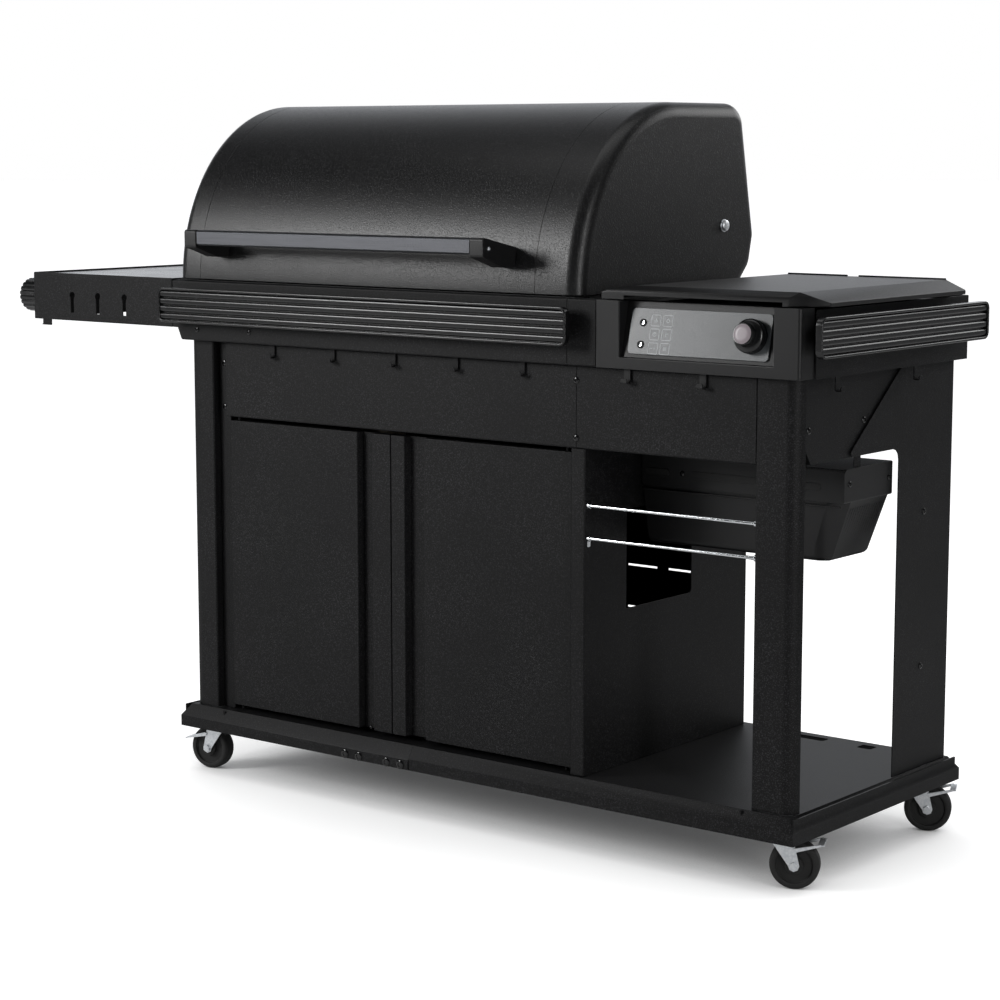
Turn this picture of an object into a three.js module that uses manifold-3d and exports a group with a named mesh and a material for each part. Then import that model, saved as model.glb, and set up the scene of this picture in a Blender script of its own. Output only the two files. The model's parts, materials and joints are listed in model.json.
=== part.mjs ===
import * as THREE from 'three';
import { mergeVertices } from 'three/addons/utils/BufferGeometryUtils.js';
import Module from 'manifold-3d';

// Pellet smoker grill on a four-caster cart, in millimetres.
// X runs from the left shelf to the hopper, -Y is the front, Z is up from the floor.
// While it is being built, x = 0 and y = 0 are the middle of the cart base.

const wasm = await Module();
wasm.setup();

// Driving dimensions
const sheet = 2; // pressed steel panels
const gap = 0.3; // clearance between pieces that touch

const base = { halfWidth: 667, halfDepth: 269, rimBottom: 85, rimTop: 105, top: 126, bevel: 15, seam: -110.6 };
const caster = { x: 613, y: 215, radius: 40, width: 28, trail: 22, head: 95, plate: 97 };
const legs = { front: -249, depth: 23, outer: 652, corner: 22, rearFront: 63, rearBack: 243 };
const cabinet = { left: -587, right: 251, back: 238, doorTop: 663, doorBottom: 135, top: 683 };
const door = { face: -240, back: -222, outerLeft: -555, meet: -172, outerRight: 218, pin: 14, groove: 14 };
const beam = { bottom: 671, top: 807, left: -556, seam: 233.5, right: 577 };
const fascia = { face: -267, bottom: 807, top: 915, left: -671.5, right: 227, panelLeft: 284 };
const apron = { face: 667, top: 912, bottom: 806, front: -225, back: 261, left: 256 };
const rail = { bottom: 840, top: 903, standOff: 33, depth: 12, corner: 13, ridges: 4 };
const hood = {
  left: -665, right: 245, bottom: 919, top: 1230, front: -262, edge: 26, wall: 2.5,
  seamLeft: -605, seamRight: 157, pivotY: 161, pivotZ: 1021, middleY: 20, middleZ: 915,
};
const tub = { left: -660, right: 240, front: -222, back: 236, bottom: 684, rim: 917, heel: 893 };
const handle = { left: -534, right: 87, bottom: 983, top: 1010, front: -341, depth: 20, arm: 28 };
const shelf = { left: -1051, right: -672, bottom: 829, top: 918, back: 267 };
const burner = { y: -230, z: 872, radius: 32, reach: 49 };
const lid = {
  left: 290, right: 690, front: -262, back: 206, top: 939, bottom: 916.5, wall: 3,
  axisY: 216, axisZ: 912,
};
const hopper = { left: 290, right: 648, front: -224, bottom: 672, top: 905, floor: 692 };
const auger = { y: -153, z: 716, radius: 19, pitch: 75, tubeOuter: 24, tubeInner: 21 };
const pot = { x: -210, radius: 52, wall: 3, top: 785 };
const bin = { left: 254, right: 640, front: -92, back: 60, top: 650, rim: 598, bottom: 495 };
const panel = { left: 342, right: 604, bottom: 832, height: 73.5, bottomY: -262, tilt: 12.5 };
const knob = { x: 572, z: 868, radius: 27, reach: 32 };

// Finishes
const finishes = {
  powderCoat: { color: 0x161616, roughness: 0.55, metalness: 0.2 },
  satinEnamel: { color: 0x121212, roughness: 0.38, metalness: 0.2 },
  mouldedBlack: { color: 0x1a1a1a, roughness: 0.6, metalness: 0 },
  glossBlack: { color: 0x101012, roughness: 0.15, metalness: 0 },
  brushedDark: { color: 0x4a4c50, roughness: 0.4, metalness: 0.9 },
  chrome: { color: 0xd8dadc, roughness: 0.12, metalness: 1 },
  zinc: { color: 0xc4c8cb, roughness: 0.35, metalness: 0.9 },
  rubber: { color: 0x1c1c1e, roughness: 0.8, metalness: 0 },
  greyPanel: { color: 0x5a5d60, roughness: 0.35, metalness: 0.1 },
  bareSteel: { color: 0x7d7f82, roughness: 0.45, metalness: 0.9 },
  castIron: { color: 0x1d1c1c, roughness: 0.5, metalness: 0.4 },
};

const materials = {};
for (const [name, look] of Object.entries(finishes)) {
  materials[name] = new THREE.MeshStandardMaterial({ name, ...look });
}

const grill = new THREE.Group();

// Solids

function toSolid(geometry) {
  geometry.deleteAttribute('normal');
  geometry.deleteAttribute('uv');
  const merged = mergeVertices(geometry, 1e-4);
  const mesh = new wasm.Mesh({
    numProp: 3,
    vertProperties: new Float32Array(merged.attributes.position.array),
    triVerts: new Uint32Array(merged.index.array),
  });
  return new wasm.Manifold(mesh);
}

function toGeometry(solid) {
  const mesh = solid.getMesh();
  const geometry = new THREE.BufferGeometry();
  geometry.setAttribute('position', new THREE.BufferAttribute(mesh.vertProperties, 3));
  geometry.setIndex(new THREE.BufferAttribute(mesh.triVerts, 1));
  geometry.computeVertexNormals();
  return geometry;
}

function addPart(name, solid, finish, parent = grill) {
  const mesh = new THREE.Mesh(toGeometry(solid), materials[finish]);
  mesh.name = name;
  parent.add(mesh);
  return mesh;
}

function join(...solids) {
  return solids.reduce((whole, next) => whole.add(next));
}

function block(x0, x1, y0, y1, z0, z1) {
  const geometry = new THREE.BoxGeometry(x1 - x0, y1 - y0, z1 - z0);
  geometry.translate((x0 + x1) / 2, (y0 + y1) / 2, (z0 + z1) / 2);
  return toSolid(geometry);
}

// Corner points may carry a third value, the radius of the corner.
function roundOff(points, steps = 3) {
  const outline = [];
  points.forEach((point, index) => {
    const corner = new THREE.Vector2(point[0], point[1]);
    const radius = point[2] ?? 0;
    if (radius === 0) {
      outline.push(corner);
      return;
    }
    const before = points[(index + points.length - 1) % points.length];
    const after = points[(index + 1) % points.length];
    const toBefore = new THREE.Vector2(before[0], before[1]).sub(corner).normalize();
    const toAfter = new THREE.Vector2(after[0], after[1]).sub(corner).normalize();
    const half = Math.acos(THREE.MathUtils.clamp(toBefore.dot(toAfter), -1, 1)) / 2;
    const reach = radius / Math.tan(half);
    const start = corner.clone().addScaledVector(toBefore, reach);
    const end = corner.clone().addScaledVector(toAfter, reach);
    const middle = toBefore.clone().add(toAfter).normalize();
    const centre = corner.clone().addScaledVector(middle, radius / Math.sin(half));
    const from = start.clone().sub(centre).angle();
    let sweep = end.clone().sub(centre).angle() - from;
    sweep = Math.atan2(Math.sin(sweep), Math.cos(sweep));
    for (let step = 0; step <= steps; step += 1) {
      const angle = from + (sweep * step) / steps;
      outline.push(new THREE.Vector2(centre.x + radius * Math.cos(angle), centre.y + radius * Math.sin(angle)));
    }
  });
  return outline;
}

function shapeOf(points, holes = []) {
  const shape = new THREE.Shape(roundOff(points));
  shape.holes = holes.map((hole) => new THREE.Path(roundOff(hole)));
  return shape;
}

const alongX = new THREE.Matrix4().makeBasis(
  new THREE.Vector3(0, 1, 0), new THREE.Vector3(0, 0, 1), new THREE.Vector3(1, 0, 0));
const alongY = new THREE.Matrix4().makeBasis(
  new THREE.Vector3(1, 0, 0), new THREE.Vector3(0, 0, 1), new THREE.Vector3(0, -1, 0));

// An outline in Y and Z, drawn out from x0 to x1.
function drawX(points, x0, x1, holes) {
  const geometry = new THREE.ExtrudeGeometry(shapeOf(points, holes), { depth: x1 - x0, bevelEnabled: false });
  geometry.applyMatrix4(alongX).translate(x0, 0, 0);
  return toSolid(geometry);
}

// An outline in X and Z, drawn out from y0 to y1.
function drawY(points, y0, y1, holes) {
  const geometry = new THREE.ExtrudeGeometry(shapeOf(points, holes), { depth: y1 - y0, bevelEnabled: false });
  geometry.applyMatrix4(alongY).translate(0, y1, 0);
  return toSolid(geometry);
}

// An outline in X and Y, drawn up from z0 to z1.
function drawZ(points, z0, z1, holes) {
  const geometry = new THREE.ExtrudeGeometry(shapeOf(points, holes), { depth: z1 - z0, bevelEnabled: false });
  geometry.translate(0, 0, z0);
  return toSolid(geometry);
}

function rodX(x0, x1, y, z, radius, sides = 12) {
  const geometry = new THREE.CylinderGeometry(radius, radius, x1 - x0, sides);
  geometry.rotateZ(-Math.PI / 2).translate((x0 + x1) / 2, y, z);
  return toSolid(geometry);
}

function rodY(x, y0, y1, z, radius, sides = 12) {
  const geometry = new THREE.CylinderGeometry(radius, radius, y1 - y0, sides);
  geometry.translate(x, (y0 + y1) / 2, z);
  return toSolid(geometry);
}

function rodZ(x, y, z0, z1, radius, sides = 12, topRadius = radius) {
  const geometry = new THREE.CylinderGeometry(topRadius, radius, z1 - z0, sides);
  geometry.rotateX(Math.PI / 2).translate(x, y, (z0 + z1) / 2);
  return toSolid(geometry);
}

function rectangle(a0, a1, b0, b1, radius = 0) {
  return [[a0, b0, radius], [a1, b0, radius], [a1, b1, radius], [a0, b1, radius]];
}

// A folded sheet: the line of its outer skin, thickened to the left of its direction.
function fold(line, thickness = sheet) {
  const points = line.map(([a, b]) => new THREE.Vector2(a, b));
  const inner = points.map((point, index) => {
    const ahead = (points[index + 1] ?? point).clone().sub(points[index + 1] ? point : points[index - 1]).normalize();
    const behind = (points[index - 1] ? point.clone().sub(points[index - 1]) : ahead.clone()).normalize();
    const leftAhead = new THREE.Vector2(-ahead.y, ahead.x);
    const leftBehind = new THREE.Vector2(-behind.y, behind.x);
    const mitre = leftAhead.clone().add(leftBehind).normalize();
    return point.clone().addScaledVector(mitre, thickness / mitre.dot(leftAhead));
  });
  return [...points, ...inner.reverse()].map((point) => [point.x, point.y]);
}

function curved(line, steps = 4) {
  return roundOff(line, steps).map((point) => [point.x, point.y]);
}

// Cart base: two pressed trays, open below, with the caster channels welded inside.

function traySolid(inset, left, right, leftBevel, rightBevel, bottom) {
  const { halfDepth, rimTop, top, bevel } = base;
  const deep = halfDepth - inset;
  const sideways = drawX(
    [[-deep, bottom], [deep, bottom], [deep, rimTop], [deep - bevel, top - inset], [bevel - deep, top - inset],
      [-deep, rimTop]],
    left, right);
  const endways = drawY(
    [[left, bottom], [right, bottom], [right, rightBevel ? rimTop : top], [right - rightBevel, top],
      [left + leftBevel, top], [left, leftBevel ? rimTop : top]],
    -halfDepth, halfDepth);
  return sideways.intersect(endways);
}

function buildTray(name, left, right, leftBevel, rightBevel, cuts, extras) {
  const shell = traySolid(0, left, right, leftBevel, rightBevel, base.rimBottom)
    .subtract(traySolid(sheet, left + sheet, right - sheet, leftBevel, rightBevel, base.rimBottom - 1));
  const channelX = leftBevel ? -caster.x : caster.x;
  const channel = drawY(
    [[channelX - 50, base.top - 1], [channelX - 50, caster.plate], [channelX + 50, caster.plate],
      [channelX + 50, base.top - 1], [channelX + 47, base.top - 1], [channelX + 47, caster.plate + 3],
      [channelX - 47, caster.plate + 3], [channelX - 47, base.top - 1]],
    8 - base.halfDepth, base.halfDepth - 8);
  let whole = join(shell, channel, ...extras);
  for (const cut of cuts) {
    whole = whole.subtract(cut);
  }
  addPart(name, whole, 'powderCoat');
}

const splicePlate = block(-268, base.seam - 0.5, -base.halfDepth - 2, 0.5 - base.halfDepth, 86.5, 102.5);
buildTray('base_tray_left', -base.halfWidth, base.seam - gap / 2, base.bevel, 0, [], [splicePlate]);
buildTray('base_tray_right', base.seam + gap / 2, base.halfWidth, 0, base.bevel, [
  drawZ(rectangle(330, 430, 214, 236, 5), base.top - 10, base.top + 10),
  drawZ(rectangle(498, 526, 212, 236, 4), base.top - 10, base.top + 10),
], []);

// Casters: a zinc fork with its ball race and axle, a wheel on the axle, and a brake stirrup round the fork.

function buildCaster(name, x, y, heading, lever) {
  const group = new THREE.Group();
  group.position.set(x, y, 0);
  group.rotation.z = THREE.MathUtils.degToRad(heading);
  grill.add(group);

  const { radius, width, trail, head, plate } = caster;
  const forkInner = width / 2 + 3;
  const forkOuter = forkInner + 2.5;
  const crown = head - 11;
  const cheek = [[trail - 9, radius, 0], [trail - 6.5, radius - 6.5], [trail, radius - 9.5],
    [trail + 6.5, radius - 6.5], [trail + 9, radius], [20, crown + 3], [-20, crown + 3]];
  const fork = join(
    drawY(cheek, -forkOuter, -forkInner),
    drawY(cheek, forkInner, forkOuter),
    block(-20, 20, -forkOuter, forkOuter, crown, crown + 3),
    rodZ(0, 0, crown + 2, head, 21, 20),
    rodZ(0, 0, head - 1, plate - gap, 12, 16),
    rodY(trail, -forkOuter - 4, forkOuter + 4, radius, 4, 12),
    rodY(trail, -forkOuter - 4, 0.1 - forkOuter, radius, 7, 6),
    rodY(trail, forkOuter - 0.1, forkOuter + 4, radius, 7, 6));
  addPart(`caster_fork_${name}`, fork, 'zinc', group);

  const half = width / 2;
  const profile = [[4.4, -half - 2], [14, -half - 2], [14, 5 - half], [29, 5 - half], [30, -half],
    [36, -half], [40, 6 - half], [40, half - 6], [36, half], [30, half], [29, half - 5], [14, half - 5],
    [14, half + 2], [4.4, half + 2], [4.4, -half - 2]];
  const tyre = new THREE.LatheGeometry(profile.map(([r, a]) => new THREE.Vector2(r, a)), 18);
  tyre.translate(trail, 0, 0);
  const wheel = addPart(`caster_wheel_${name}`, toSolid(tyre), 'rubber', group);
  wheel.position.set(0, 0, radius);

  const armInner = forkOuter + 0.6;
  const armOuter = armInner + 2;
  const pivot = { x: trail + 4, z: 66 };
  const reach = 40;
  const arm = [[-4, -3, 2], [reach, -1], [reach, 2.5], [-4, 4, 2]];
  const stirrup = join(
    drawY(arm, -armOuter, -armInner),
    drawY(arm, armInner, armOuter),
    drawY([[reach - 5, 0], [reach + 5, -1.5], [reach + 5, 0.5], [reach - 5, 2.4]], -armOuter, armOuter));
  const brake = addPart(`caster_brake_${name}`, stirrup, 'zinc', group);
  brake.position.set(pivot.x, 0, pivot.z);
  brake.rotation.y = THREE.MathUtils.degToRad(-lever);
}

buildCaster('front_left', -caster.x, -caster.y, 190, -14);
buildCaster('front_right', caster.x, -caster.y, 25, 14);
buildCaster('rear_left', -caster.x, caster.y, 165, 14);
buildCaster('rear_right', caster.x, caster.y, 25, 14);

// Legs: folded channels at the front, broad side plates at the back.

const standBottom = base.top + gap;

function buildFrontLeg(name, line) {
  addPart(name, drawZ(fold(curved(line)), standBottom, beam.top - gap), 'powderCoat');
}

const legBack = legs.front + legs.depth;
buildFrontLeg('leg_front_left', [[2 - legs.outer, legBack], [2 - legs.outer, legs.front, legs.corner],
  [-589, legs.front, 3], [-589, legBack]]);
buildFrontLeg('leg_front_right', [[beam.right, legBack], [beam.right, legs.front, 3],
  [legs.outer, legs.front, legs.corner], [legs.outer, legBack]]);

// The right rear leg widens into a gusset beside the hopper.
const { outer: legX, rearFront, rearBack } = legs;
const gussetPlate = drawX([[rearFront, standBottom], [rearBack, standBottom], [rearBack, 900], [185, 900],
  [-91, 680, 4], [-86, 673], [rearFront, 673, 18]], legX - sheet, legX);
const rightLegFold = block(legX - 30, legX - sheet + 0.1, rearBack - sheet, rearBack, standBottom, 900);
addPart('leg_rear_right', join(gussetPlate, rightLegFold), 'powderCoat');
const leftLegLine = [[30 - legX, rearBack], [-legX, rearBack], [-legX, rearFront], [12 - legX, rearFront]];
addPart('leg_rear_left', drawZ(fold(leftLegLine), standBottom, cabinet.top - gap), 'powderCoat');

// Beams under the fascia, and the cabinet.

const beamTop = beam.top - gap;
const beamFold = fold([[-235, beamTop], [legs.front, beamTop], [legs.front, beam.bottom], [-235, beam.bottom]]);
addPart('front_beam_left', drawX(beamFold, beam.left, beam.seam - gap), 'powderCoat');
addPart('front_beam_right', drawX(beamFold, beam.seam + gap, beam.right - gap), 'powderCoat');
addPart('rear_beam', block(4 - legX, legX - 4, 238.5, 240.5, 690, 800), 'powderCoat');

const wallBack = cabinet.back - sheet - gap;
const wallTop = cabinet.top - gap;
const postLine = [[223, -234], [223, legs.front], [cabinet.right, legs.front], [cabinet.right, wallBack]];
const rightWall = join(
  drawZ(fold(postLine), standBottom, beam.bottom - gap),
  block(cabinet.right - sheet, cabinet.right, -233, wallBack, beam.bottom - 1, wallTop));
const window = drawX([[-130, 392], [64, 392, 8], [64, 560], [-130, 560]], cabinet.right - 5, cabinet.right + 5);
addPart('cabinet_wall_right', rightWall.subtract(window), 'powderCoat');

const leftWallLine = [[cabinet.left, wallBack], [cabinet.left, -234], [-560, -234]];
const leftWall = join(
  drawZ(fold(leftWallLine), standBottom, wallTop),
  block(cabinet.left, -560, -234, -232, wallTop - 1, beamTop));
addPart('cabinet_wall_left', leftWall, 'powderCoat');

let backPlate = block(cabinet.left, cabinet.right, cabinet.back - sheet, cabinet.back, standBottom, wallTop);
for (const height of [314, 392]) {
  for (let index = -2; index < 3; index += 1) {
    const start = index * 90 - 5;
    backPlate = backPlate.subtract(
      block(start, start + 65, cabinet.back - sheet - 1, cabinet.back + 1, height - 1.8, height + 1.8));
  }
}
addPart('cabinet_back', backPlate, 'powderCoat');

// Doors: folded pans with a long finger groove near the meeting edges, on pins near the outer edges.

function buildDoor(name, hingeEdge, freeEdge, grooveNear, grooveFar) {
  const line = [[hingeEdge, door.back], [hingeEdge, door.face], [grooveNear[0], door.face],
    [grooveNear[1], door.face + door.groove], [grooveFar[1], door.face + door.groove], [grooveFar[0], door.face],
    [freeEdge, door.face], [freeEdge, door.back]];
  if (hingeEdge > freeEdge) {
    line.reverse();
  }
  const pinX = hingeEdge + Math.sign(freeEdge - hingeEdge) * door.pin;
  const pinY = (door.face + door.back) / 2;
  const solid = join(
    drawZ(fold(line), cabinet.doorBottom, cabinet.doorTop),
    drawZ(line, cabinet.doorBottom, cabinet.doorBottom + sheet),
    drawZ(line, cabinet.doorTop - sheet, cabinet.doorTop),
    rodZ(pinX, pinY, standBottom + 1, cabinet.doorBottom + 1, 3, 12),
    rodZ(pinX, pinY, cabinet.doorTop - 1, beam.bottom - 1, 3, 12));
  addPart(name, solid, 'powderCoat');
}

buildDoor('door_left', door.outerLeft, door.meet - 1, [-249, -246], [-214, -217]);
buildDoor('door_right', door.outerRight, door.meet + 1, [-96, -99], [-141, -138]);

// Fascia, filler and control housing along the front.

function hookY(x, y) {
  return join(
    block(x - 6, x + 6, y - 1, y + 1, 783, fascia.bottom + 1),
    block(x - 6, x + 6, y - 11, y + 1, 783, 785),
    block(x - 6, x + 6, y - 11, y - 9, 783, 791));
}

const fasciaFold = fold([[-249.5, fascia.top], [fascia.face, fascia.top], [fascia.face, fascia.bottom],
  [-249.5, fascia.bottom]]);
const fasciaStep = drawY([[fascia.left - 9, 790], [-650, 790], [-650, fascia.bottom], [-660, shelf.bottom],
  [fascia.left - 9, shelf.bottom]], fascia.face - 5, -240);
const fasciaHooks = [-438, -295, -155, -17, 124].map((x) => hookY(x, -251.5));
addPart('fascia_front', join(drawX(fasciaFold, fascia.left, fascia.right - gap), ...fasciaHooks)
  .subtract(fasciaStep), 'powderCoat');
addPart('fascia_filler', drawX(fasciaFold, fascia.right + gap, fascia.panelLeft - gap), 'powderCoat');

const housingRight = apron.face - sheet - 0.5;
const tilt = THREE.MathUtils.degToRad(panel.tilt);
const panelThickness = 2.5;

// A wedge in front of the tilted panel plane, moved back by some distance.
function panelWedge(offset, low, x0, x1) {
  const lean = (z) => panel.bottomY + offset / Math.cos(tilt) + (z - panel.bottom) * Math.tan(tilt);
  return drawX([[-285, low], [lean(low), low], [lean(925), 925], [-285, 925]], x0, x1);
}

const housingShell = drawZ([[fascia.panelLeft, legBack], [fascia.panelLeft, fascia.face, 2],
  [housingRight, fascia.face, 5], [housingRight, legBack]], fascia.bottom, fascia.top);
const housingRoom = drawZ([[fascia.panelLeft + 3, legBack + 5], [fascia.panelLeft + 3, fascia.face + 3, 2],
  [housingRight - 3, fascia.face + 3, 2], [housingRight - 3, legBack + 5]],
  fascia.bottom + 3, fascia.top - 3);
const recess = panelWedge(panelThickness + gap, panel.bottom - 6, panel.left - 12, panel.right + 12);
const recessWall = panelWedge(panelThickness + 3.3, panel.bottom - 9, panel.left - 15, panel.right + 15);
const knobLift = (knob.z - panel.bottom) / Math.cos(tilt);
const knobY = panel.bottomY + knobLift * Math.sin(tilt);

// Turns a piece that was drawn round the Y axis so that it stands on the tilted panel at the knob.
function ontoPanel(solid) {
  return solid.rotate([-panel.tilt, 0, 0]).translate([knob.x, knobY, knob.z]);
}

const knobBore = ontoPanel(rodY(0, -10, 25, 0, 5, 16));
const panelHooks = [336, 480].map((x) => hookY(x, -251.5));
addPart('control_housing', join(housingShell.subtract(housingRoom.subtract(recessWall)), ...panelHooks)
  .subtract(recess).subtract(knobBore), 'mouldedBlack');

const plate = drawY(rectangle(panel.left, panel.right, 0, panel.height, 7), 0, panelThickness)
  .rotate([-panel.tilt, 0, 0]).translate([0, panel.bottomY, panel.bottom]);
addPart('control_panel', plate.subtract(knobBore), 'greyPanel');

const knobBody = new THREE.LatheGeometry([[0, 12], [3.5, 12], [3.5, -0.6], [knob.radius, -0.6],
  [knob.radius - 0.5, -15], [knob.radius - 3, -18], [17.5, -18.5], [17, -knob.reach + 1], [16, -knob.reach],
  [0, -knob.reach]].map(([r, y]) => new THREE.Vector2(r, y)).reverse(), 24);
const knobMesh = addPart('control_knob', toSolid(knobBody), 'mouldedBlack');
knobMesh.position.set(knob.x, knobY, knob.z);
knobMesh.rotation.x = -tilt;

// Ribbed accessory rails, drawn facing the front with their back on y = 0.

function railSolid(length) {
  const half = length / 2;
  const high = (rail.top - rail.bottom) / 2;
  const { depth, corner, ridges } = rail;
  const frame = drawY(rectangle(-half, half, -high, high, corner), -depth, 0,
    [rectangle(5 - half, half - 5, 5 - high, high - 5, corner - 5)]);
  const web = drawY(rectangle(1 - half, half - 1, 1 - high, high - 1, corner - 1), -5, 0);
  const pitch = (2 * high - 10) / ridges;
  const pieces = [];
  for (let index = 0; index < ridges; index += 1) {
    const z = 5 - high + pitch * (index + 0.5);
    const bead = [[-4, z - 4.6], [-depth + 0.6, z - 3, 2], [-depth + 0.6, z + 3, 2], [-4, z + 4.6]];
    pieces.push(drawX(bead, 4.9 - half, half - 4.9));
  }
  for (const x of [-0.42, 0, 0.42]) {
    pieces.push(block(x * length - 8, x * length + 8, -0.1, rail.standOff - depth - gap, -14, 14));
  }
  return join(frame, web, ...pieces);
}

const railMiddle = (rail.top + rail.bottom) / 2;
const frontRail = addPart('front_rail', railSolid(926), 'glossBlack');
frontRail.position.set(-215, fascia.face - rail.standOff + rail.depth, railMiddle);
const sideRail = addPart('side_rail', railSolid(535), 'glossBlack');
sideRail.position.set(apron.face + rail.standOff - rail.depth, 3.5, railMiddle);
sideRail.rotation.z = Math.PI / 2;

const sideHooks = [-160, 86].map((y) => join(
  block(apron.face - sheet, apron.face, y - 6, y + 6, 783, 808),
  block(apron.face - sheet, apron.face + 10, y - 6, y + 6, 783, 785),
  block(apron.face + 8, apron.face + 10, y - 6, y + 6, 783, 791)));
const apronFold = fold([[apron.face, apron.front], [apron.face, apron.back], [apron.left, apron.back]]);
addPart('side_apron', join(drawZ(apronFold, apron.bottom, apron.top), ...sideHooks), 'powderCoat');

// Left shelf with a ceramic cooktop over the well of its heater.

const shelfMiddle = (shelf.left + shelf.right) / 2;
const shelfTop = shelf.top - 3;
const glassOutline = (grow) => rectangle(shelf.left + 14 - grow, shelf.right - 14 + grow,
  -shelf.back + 18 - grow, shelf.back - 18 + grow, 10);
const shelfShell = block(shelf.left, shelf.right, -shelf.back, shelf.back, shelf.bottom, shelf.top)
  .subtract(block(shelf.left + sheet, shelf.right - sheet, sheet - shelf.back, shelf.back - sheet,
    shelf.bottom - 1, shelfTop - 8))
  .subtract(block(shelf.left + 3, shelf.right - 3, 3 - shelf.back, shelf.back - 3, shelfTop, shelf.top + 1))
  .subtract(drawZ(glassOutline(gap), shelfTop - 4 - gap, shelf.top + 1))
  .subtract(rodZ(shelfMiddle, 0, shelfTop - 9, shelf.top, 100, 24));
const wellRadius = 112;
const cooktopWell = rodZ(shelfMiddle, 0, 870, shelfTop - 7, wellRadius, 24)
  .subtract(rodZ(shelfMiddle, 0, 870 + sheet, shelfTop, wellRadius - sheet, 24));
const shelfCuts = [-942, -872, -800].map((x) => join(
  block(x - 4.5, x + 4.5, -shelf.back - 1, 5 - shelf.back, 844, 876),
  rodY(x, -shelf.back - 1, 5 - shelf.back, 877, 7, 16)));
const knobHole = rodX(shelf.left - 5, shelf.left + 5, burner.y, burner.z, 6, 16);
let shelfSolid = shelfShell.subtract(knobHole);
for (const cut of shelfCuts) {
  shelfSolid = shelfSolid.subtract(cut);
}
const shelfHook = join(block(-1028, -1004, 2.2 - shelf.back, 4.2 - shelf.back, 818, shelf.bottom + 5),
  block(-1028, -1004, -shelf.back, 4.2 - shelf.back, 818, 820));
addPart('left_shelf', join(shelfSolid, shelfHook, cooktopWell, block(-1028, -1004, 1 - shelf.back, 4 - shelf.back,
  shelf.bottom, shelf.bottom + 5)), 'powderCoat');
addPart('cooktop_glass', drawZ(glassOutline(0), shelfTop - 4, shelfTop), 'glossBlack');
const burnerProfile = [[0, -14], [4, -14], [4, 0.6], [burner.radius - 1, 0.6], [burner.radius, 3],
  [burner.radius - 1, burner.reach - 7], [burner.radius - 4, burner.reach - 2], [burner.radius - 8, burner.reach],
  [0, burner.reach]];
const burnerShape = new THREE.LatheGeometry(burnerProfile.map(([r, y]) => new THREE.Vector2(r, y)), 24);
const burnerKnob = addPart('burner_knob', toSolid(burnerShape), 'mouldedBlack');
burnerKnob.position.set(shelf.left, burner.y, burner.z);
burnerKnob.rotation.z = Math.PI / 2;

// Hopper: a sloped bin with a partition in front of the auger motor, the deck round its mouth,
// and the tube that leads the auger into the tub.

const hopperSlope = (187 + 104) / (hopper.top - hopper.bottom);
const hopperRear = (z) => -104 + (z - hopper.bottom) * hopperSlope;
const slopeInset = sheet * Math.hypot(1, hopperSlope);
const hopperOuter = drawX([[hopper.front, hopper.top], [hopper.front, 700], [-204, hopper.bottom],
  [hopperRear(hopper.bottom), hopper.bottom], [hopperRear(hopper.top), hopper.top]], hopper.left, hopper.right);
const floorTop = hopper.floor + sheet;
const roomOutline = [[hopper.front + sheet, 906], [hopper.front + sheet, 701], [-217.3, floorTop],
  [hopperRear(floorTop) - slopeInset, floorTop], [hopperRear(906) - slopeInset, 906]];
const hopperRoom = drawX(roomOutline, hopper.left + sheet, hopper.right - 1.5);
const skirtRoom = drawX([[-201, 671], [-215.8, hopper.floor], [hopperRear(hopper.floor) - slopeInset,
  hopper.floor], [hopperRear(671) - slopeInset, 671]], hopper.left + sheet, hopper.right - 1.5);
const partition = drawX(roomOutline.map(([y, z]) => [y, Math.min(z, 880)]), 560, 562);
const deck = drawZ(rectangle(256, 661, -212, 256), hopper.top - sheet, hopper.top,
  [rectangle(hopper.left + sheet, hopper.right - 1.5, -210, 182)]);
const augerBore = rodX(pot.x + pot.radius - 5, hopper.left + 4, auger.y, auger.z, auger.tubeInner, 20);
const augerTube = rodX(pot.x + pot.radius + gap, hopper.left + 1, auger.y, auger.z, auger.tubeOuter, 20);
const lidHinges = [[346, 362], [578, 594]].map(([x0, x1]) => join(
  rodX(x0 + gap, x1 - gap, lid.axisY, lid.axisZ, 5, 16),
  block(x0 + gap, x1 - gap, lid.axisY - 4, lid.axisY + 4, hopper.top - 1, lid.axisZ)));
const hopperShell = hopperOuter.subtract(hopperRoom).subtract(skirtRoom);
const sideFlange = drawX([
  [hopperRear(hopper.bottom) - 5, hopper.bottom], [hopperRear(hopper.bottom) + 40, hopper.bottom],
  [hopperRear(hopper.top) + 40, hopper.top], [hopperRear(hopper.top) - 5, hopper.top],
], hopper.right - 1.5, hopper.right);
const hopperSolid = join(hopperShell, sideFlange, partition, deck, augerTube, ...lidHinges)
  .subtract(augerBore)
  .subtract(rodX(555, 566, auger.y, auger.z, 10, 16));
addPart('hopper', hopperSolid, 'powderCoat');

function lidOutline(inset, low) {
  return [[lid.left + inset, low], [lid.left + inset, 929 - inset], [349, lid.top - inset],
    [653 - inset / 3, lid.top - inset], [lid.right - inset, 923 - inset / 2], [lid.right - inset, low]];
}

function lidBlank(inset, low) {
  const bar = drawY(lidOutline(inset, low), lid.front + inset, lid.back - inset);
  const corner = drawZ([[640 - inset, lid.front - 9], [640 - inset, lid.front + inset],
    [lid.right - inset, -224 + inset], [lid.right + 9, -224 + inset], [lid.right + 9, lid.front - 9]], 900, 950);
  const front = drawX([[lid.front - 9, 931 - inset], [lid.front + inset, 931 - inset],
    [lid.front + 12 + inset, lid.top - inset + 1], [lid.front + 12 + inset, 960], [lid.front - 9, 960]],
    lid.left - 9, lid.right + 9);
  return bar.subtract(corner).subtract(front);
}

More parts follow.
